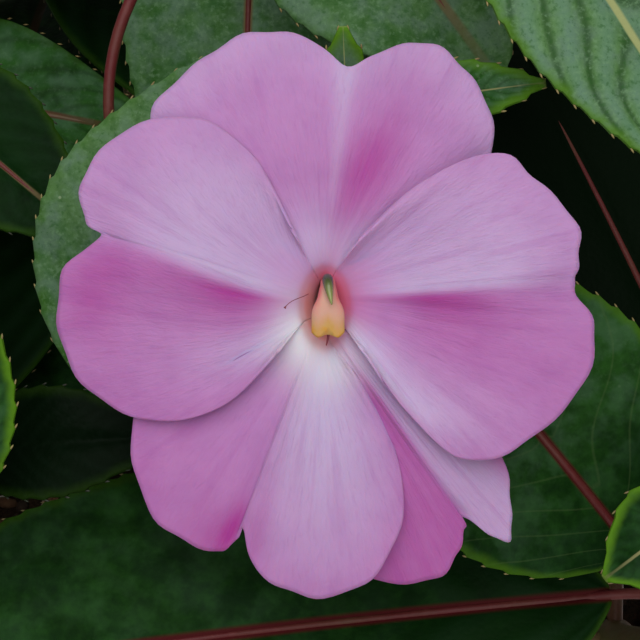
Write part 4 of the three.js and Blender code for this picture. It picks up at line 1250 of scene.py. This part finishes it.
def petal_grid(petal, phase, columns, rows, claw):
    """A petal's points on the bloom's own axes, with s round its margin and t out from the throat.

    From t = -1 to 0 it is the claw, which rises up the throat's wall, and from 0 to 1 the face."""
    s_line = np.linspace(-1, 1, columns)
    t_line = np.concatenate([np.linspace(-1, 0, claw)[:-1], np.linspace(0, 1, rows) ** 1.2])
    t, s = np.meshgrid(t_line, s_line, indexing="ij")
    down, out = np.maximum(-t, 0), np.maximum(t, 0)
    ring = np.radians(lerp(*petal["springs"], (s + 1) / 2))
    inward = CLAW_NARROWING * np.sin(np.pi / 2 * down)
    uneven = 0.006 * np.sin(19 * s_line + 2 * phase) + 0.005 * np.sin(43 * s_line + 5 * phase)
    edge_x, edge_y = margin_points(petal["margin"], (s_line + 1) / 2).T * (1 + uneven)
    x = lerp((THROAT_X - inward) * np.cos(ring), edge_x, out)
    y = lerp(THROAT_CENTRE + (THROAT_Y - inward) * np.sin(ring), edge_y, out)
    far = out * np.hypot(edge_x, edge_y)
    s = s - petal["bend"] * (1 - out) ** 1.8
    z = petal_face(petal, phase, s, out, x, y) - throat_dip(petal_foot(petal), far, down)
    return np.stack([x, y, z], axis=-1), s, t, far


def fade(value, start, reach):
    """1 up to a start, then falling away."""
    return np.exp(-np.maximum(value - start, 0) / reach)


def standard_tints(s, t):
    pale = 0.08 + 0.4 * hill(s, 0.0, 0.05) * smooth(t, 0.1, 0.5) + 0.25 * smooth(t, 0.75, 1.0)
    pale += 0.6 * hill(t, 0.1, 0.16)
    # magenta right of the crest, partly painted shade
    streak_and_shade = 0.78 * hill(s, 0.28, 0.24) * hill(t, 0.42, 0.27)
    streak_and_shade += 0.14 * hill(s, -0.3, 0.4) * hill(t, 0.4, 0.3)
    return pale, streak_and_shade


def left_tints(s, t):
    lower, upper = smooth(s, -0.05, 0.08), smooth(s, 0.06, -0.12)
    # pale above the crest is partly painted light on the flank facing up, magenta below it partly painted
    # shade
    pale = upper * (0.2 + 0.7 * np.exp(s / 0.8) * smooth(t, 0.03, 0.25) * smooth(t, 0.95, 0.5))
    pale += 0.9 * smooth(s, 0.2, 0.65) * hill(t, 0.2, 0.34)
    streak_and_shade = lower * fade(s, 0.05, 0.2) * hill(t, 0.26, 0.2)
    streak_and_shade += 0.4 * lower * fade(s, 0, 0.13) * hill(t, 0.65, 0.25)
    streak_and_shade += 0.42 * hill(s, 0.22, 0.15) * hill(t, 0.86, 0.14) + 0.16 * hill(s, 0.6, 0.2) * t**3
    streak_and_shade += 0.24 * lower * np.exp(-s / 0.6) * smooth(t, 0.2, 0.6)
    return pale, streak_and_shade


def right_tints(s, t):
    lower, upper = smooth(s, -0.05, 0.08), smooth(s, 0.06, -0.12)
    # pale above the crest is partly painted light on the flank facing up, magenta below it partly painted
    # shade
    pale = upper * (0.2 + 0.65 * np.exp(s / 0.5) * smooth(t, 0.05, 0.3) * smooth(t, 1.0, 0.6))
    pale += 0.95 * smooth(s, 0.3, 0.8) * smooth(t, 1.1, 0.6)
    streak_and_shade = 0.72 * lower * fade(s, 0.07, 0.24) * hill(t, 0.35, 0.22)
    streak_and_shade += 0.4 * lower * fade(s, 0, 0.1) * smooth(t, 0.1, 0.4) * smooth(t, 0.95, 0.6)
    streak_and_shade += 0.24 * hill(s, 0.28, 0.26) * smooth(t, 0.2, 0.6)
    return pale, streak_and_shade


def lower_left_tints(s, t):
    pale = 0.85 * hill(s, 0.38, 0.42) * smooth(t, 1.2, 0.2) * smooth(s, -0.35, 0.05)
    # darker magenta over the left lobe and at the notch, partly painted shade
    streak_and_shade = 0.2 * smooth(s, 0.0, -0.3) * smooth(t, 0.2, 0.8) + 0.12 * hill(t, 1.0, 0.1)
    streak_and_shade += 0.8 * hill(s, -0.24, 0.13) * hill(t, 0.9, 0.13)
    streak_and_shade += 0.3 * hill(s, 0.1, 0.07) * hill(t, 0.85, 0.2)
    return pale, streak_and_shade


def lower_right_tints(s, t):
    pale = 0.5 * smooth(s, 0.0, 0.16)
    # painted shade on the left lobe, tucked under the lower-left petal
    streak_and_shade = 0.6 * smooth(s, 0.04, -0.1) * smooth(t, 0.08, 0.3)
    streak_and_shade += 0.2 * hill(s, -0.02, 0.06) * hill(t, 0.4, 0.3)
    # painted shadow under the right petal's lower edge
    streak_and_shade += 0.75 * smooth(s, 0.5, 0.7) * smooth(t, 0.7, 0.92)
    return pale, streak_and_shade


TINTS = {
    "standard": standard_tints,
    "left": left_tints,
    "right": right_tints,
    "lower_left": lower_left_tints,
    "lower_right": lower_right_tints,
}


def petal_tints(name, s, t, x, y):
    """How pale, magenta and white each point of a petal is, from 0 to 1; pale and magenta are partly
    painted light and shade.
    """
    pale, streak_and_shade = TINTS[name](s, np.maximum(t, 0))
    white = hill(x, -2.6, 3.6) * hill(y, -4.6, 5.2)
    white = np.clip(np.maximum(white, 0.7 * hill(x, 0.6, 4.2) * hill(y, -7.6, 3.6)), 0, 0.95)
    return dict(pale=np.clip(pale, 0, 1), streak_and_shade=np.clip(streak_and_shade, 0, 1), white=white)


def throat_tints(t, x, y, far):
    """Colours at the throat: rosy on its right and top, orange-brown on its left and foot, and dark inside,
    which is painted shade.
    """
    turn = np.arctan2((y - THROAT_CENTRE) / THROAT_Y, x / THROAT_X)
    down = np.maximum(-t, 0)
    left = hill(np.abs(turn), math.pi, 1.35)
    foot = hill(turn, -math.pi / 2, 0.8)
    right = hill(turn, 0.15, 1.0)
    top = hill(turn, math.pi / 2, 0.7)
    near = lerp(0.6, 1.0, smooth(down, 0.0, 0.3)) * hill(far, 0, lerp(0.5, 1.2, foot))
    warm = 0.8 * near * np.clip(left + foot + 0.35 * right, 0, 1)
    rose = 0.65 * near * np.clip(right + 0.9 * top, 0, 1)
    rose += 0.25 * hill(far, 0, 3.0) * np.clip(right + 0.4 * top, 0, 1)
    # deep: painted shade down the claw into the throat
    return dict(warm=np.clip(warm, 0, 1), rose=np.clip(rose, 0, 1), deep=0.8 * smooth(down, 0.5, 0.95))


def add_cup(pieces, face):
    """The throat's cup behind the petals, an oval bowl."""
    outside = [(0, -CUP_DEPTH), (0.5, -CUP_DEPTH), (0.78, -5.5), (0.92, -4.6), (0.98, -3.9)]
    inside = [(0.92, -3.9), (0.84, -4.7), (0.7, -5.3), (0.4, -5.5), (0, -5.5)]
    points, faces = lathe(np.array(outside + inside), CUP_SIDES)
    points = points * vec(THROAT_X, THROAT_Y, 1) + vec(0, THROAT_CENTRE, 0)
    pieces.add(face.place(points), *((corners, 1) for corners in faces))


def build_bloom(number, bloom, materials):
    face = bloom["face"]
    fineness = MAIN_PETAL if face is MAIN else OTHER_PETAL
    pieces = Pieces("across", "along", "petal", "pale", "streak_and_shade", "white", "warm", "rose", "deep")
    for k, (name, petal) in enumerate(PETALS.items()):
        points, s, t, far = petal_grid(petal, 1.7 * k + 0.9 * number, *fineness)
        from_side = 1 - np.abs(np.linspace(-1, 1, s.shape[1]))
        inside = np.maximum(smooth(from_side, 0.0, 0.08), smooth(t, 0.5, 0.8))
        x, y, _ = np.moveaxis(points, -1, 0)
        tints = petal_tints(name, s, t, x, y) | throat_tints(t, x, y, far)
        first, last = petal["springs"]
        pieces.add_sheet(face.place(points), PETAL_SKIN * lerp(0.25, 1.0, inside), flip=first < last,
                         across=s, along=t, petal=k + 5.0 * number, **tints)
    add_cup(pieces, face)
    pieces.build(f"petals_{number}", materials["petal"], "petal", f"bloom_{number}_petals")
    build_column(number, face, materials)
    build_calyx(number, bloom, materials)


def column_rings(sides):
    """The hooded column: a flattened body that bends over the throat and ends in two lobes."""
    t = np.linspace(0, 1, 44)
    bends = vec(COLUMN_SHIFT, 0, 0) + [(0, 1.3, -4.4), (0, 3.0, -0.6), (0, 0.8, 1.5), (0, -3.7, 0.8)]
    spine = bezier(bends, t)
    ahead = unit(np.gradient(spine, axis=0))
    half = 0.92 + 0.3 * smooth(t, 0.35, 0.66) + 0.74 * smooth(t, 0.6, 0.84)
    deep = 0.95 - 0.2 * t - 0.2 * smooth(t, 0.85, 1.0)
    cos, sin = np.cos(turns(sides)), np.sin(turns(sides))
    round_x = np.sign(cos) * np.abs(cos) ** 0.85
    share = np.abs(round_x)
    hollow = 0.3 * smooth(t, 0.6, 0.95)[:, None] * hill(round_x, 0, 0.35) * np.maximum(sin, 0)
    lobes = smooth(t, 0.72, 1.0)[:, None] * (0.75 * hill(share, 0.6, 0.34) - 0.6 * hill(share, 0, 0.22))
    rings = spine[:, None] + vec(1, 0, 0) * (half[:, None] * round_x)[..., None]
    rings += np.cross(vec(1, 0, 0), ahead)[:, None] * (deep[:, None] * sin - hollow)[..., None]
    rings += ahead[:, None] * lobes[..., None]
    middle = spine[-1]
    closing = []
    for q in (0.3, 0.6, 0.85, 0.97):
        drawn_in = middle + (rings[-1] - middle) * (1 - q) ** vec(0.35, 1, 1)
        closing.append(drawn_in + ahead[-1] * 0.45 * math.sin(q * math.pi / 2))
    return np.concatenate([rings, closing]), np.concatenate([t, [1, 1, 1, 1]]), share


def build_column(number, face, materials):
    rings, t, side = column_rings(COLUMN_SIDES)
    pieces = Pieces("along", "side")
    pieces.add_rings(face.place(rings), flip=True, along=t[:, None], side=side)
    node = f"bloom_{number}_column"
    pieces.build(f"anther_column_{number}", materials["column"], "anther", node)
    tip = Pieces("along")
    t = np.linspace(0, 1, 20)
    line = bezier([(0.3, 2.5, -0.3), (0.3, 2.2, 1.7), (0.78, -0.6, 2.45)], t)
    thick = GREEN_TIP_RADIUS * np.sin(np.pi * lerp(0.4, 0.985, t)) ** 0.75
    tip.add_tube(face.place(line), thick, GREEN_TIP_SIDES, along=t)
    tip.build(f"green_tip_{number}", materials["tip"], "anther", node)
    # One thread hangs below the lobes, and the other is a hair with a small head
    threads = Pieces()
    t = np.linspace(0, 1, 16)
    line = bezier([(0.4, -3.4, 0.2), (0.45, -4.4, 0.1), (0.15, -5.4, -0.4)], t)
    threads.add_tube(face.place(line), lerp(*THREAD_RADII, t), THREAD_SIDES)
    line = bezier([(-2.0, 0.7, -1.4), (-3.0, 0.1, -0.2), (-4.1, 0.1, 0.45), (-4.8, -1.0, 0.4)], t)
    threads.add_tube(face.place(line), HAIR_RADIUS + HAIR_HEAD * smooth(t, 0.92, 0.97), THREAD_SIDES)
    threads.build(f"throat_threads_{number}", materials["thread"], "anther")


def build_calyx(number, bloom, materials):
    """Nectar spur, flower stalk and two side sepals."""
    face = bloom["face"]
    pieces = Pieces("along")
    t = np.linspace(0, 1, 60)
    spur = bezier(spur_curve(face), t)
    thick = lerp(*SPUR_RADII, np.minimum(1, t * 1.8) ** 0.7)
    pieces.add_tube(spur, thick, SPUR_SIDES, along=t)
    stalk = bezier(stalk_curve(bloom), np.linspace(0, 1, 40))
    pieces.add_tube(stalk, STALK_RADIUS, STALK_SIDES, along=0.5)
    u, v = np.meshgrid(np.linspace(0, 1, 18), np.linspace(-1, 1, 11), indexing="ij")
    half = SEPAL_HALF_WIDTH * np.sin(np.pi * np.clip(u * 0.9 + 0.08, 0, 1)) ** 0.8
    reach = SEPAL_LENGTH * u
    for side in (-1, 1):
        sepal = np.stack([side * reach, 0.8 + reach / 2 + v * half, 0.5 * (u + v * v) - 8], axis=-1)
        pieces.add_sheet(face.place(sepal), SEPAL_SKIN, flip=side > 0, along=u * 0.3)
    pieces.build(f"calyx_{number}", materials["calyx"], "calyx", f"bloom_{number}_calyx")


def build_bud(number, bud, materials):
    """A closed bud: petals wrapped in a spiral, with its spur and stalk."""
    face = bud["face"]
    angles, t = turns(BUD_SIDES), np.linspace(0.01, 0.995, 40)[:, None]
    folds = 1 + FOLD_DEPTH * np.cos(BUD_FOLDS * (angles - BUD_TWIST * t)) * np.sin(np.pi * t)
    ring = (0.3 + BUD_RADIUS * np.sin(np.pi * t**0.8) ** 0.8) * folds
    height = lerp(BUD_FOOT, BUD_TOP, t) + 0 * angles
    points = np.stack([ring * np.cos(angles), ring * np.sin(angles), height], axis=-1)
    pieces = Pieces("along", "across")
    pieces.add_rings(face.place(points), along=t, across=np.sin(angles * 2.5))
    t = np.linspace(0, 1, 30)
    pieces.add_tube(bezier(bud_spur_curve(face), t), lerp(*BUD_SPUR_RADII, t), STALK_SIDES, along=0.2)
    pieces.add_tube(bezier(stalk_curve(bud), t), STALK_RADIUS, STALK_SIDES, along=0.12)
    pieces.build(f"closed_bud_{number}", materials["bud"], "bud", f"bud_{number}")


def build_plant():
    materials = dict(
        leaf=[leaf_material(), underside_material(), bristle_material()], stem=[stem_material()],
        petal=[petal_material(), cup_material()], column=[column_material()], tip=[green_tip_material()],
        thread=[thread_material()], calyx=[calyx_material()], bud=[bud_material()],
    )
    leaves = grow_leaves()
    for name in SHOOTS:
        build_shoot(name, [leaf for leaf in leaves if leaf["owner"] == name], materials)
    for number, bloom in enumerate(BLOOMS, 1):
        build_bloom(number, bloom, materials)
    for number, bud in enumerate(BUDS, 1):
        build_bud(number, bud, materials)


# Set: floor, lights and camera


def build_floor():
    bpy.ops.mesh.primitive_plane_add(size=6, location=(0, 0, 0))
    floor = bpy.context.object
    floor.name = "floor"
    floor.data.materials.append(floor_material())


def add_light(name, place, size, power, color):
    """A square area light that shines on the main bloom."""
    light = bpy.data.lights.new(name, "AREA")
    light.size = size
    light.energy = power
    light.color = color
    obj = bpy.data.objects.new(name, light)
    obj.location = place
    way = Vector(MAIN.centre * MM) - obj.location
    obj.rotation_euler = way.to_track_quat("-Z", "Y").to_euler()
    bpy.context.scene.collection.objects.link(obj)


def build_lights():
    for name, light in LIGHTS.items():
        add_light(name, *light)
    world = bpy.data.worlds.new("studio")
    world.use_nodes = True
    background = world.node_tree.nodes["Background"]
    background.inputs["Color"].default_value = ROOM_COLOR
    background.inputs["Strength"].default_value = ROOM_STRENGTH
    bpy.context.scene.world = world
    bpy.context.scene.view_settings.view_transform = "Standard"


def build_camera():
    data = bpy.data.cameras.new("view")
    data.sensor_width = SENSOR
    data.lens = SENSOR * VIEW_DISTANCE / VIEW_WIDTH
    data.clip_start = 0.01
    camera = bpy.data.objects.new("view", data)
    turn = Matrix(MAIN.axes).transposed().to_4x4()
    turn.translation = on_face(*VIEW_AIM, -VIEW_DISTANCE) * MM
    camera.matrix_world = turn
    bpy.context.scene.collection.objects.link(camera)
    bpy.context.scene.camera = camera


build_camera()
build_lights()
build_floor()
build_pot()
build_soil()
build_plant()
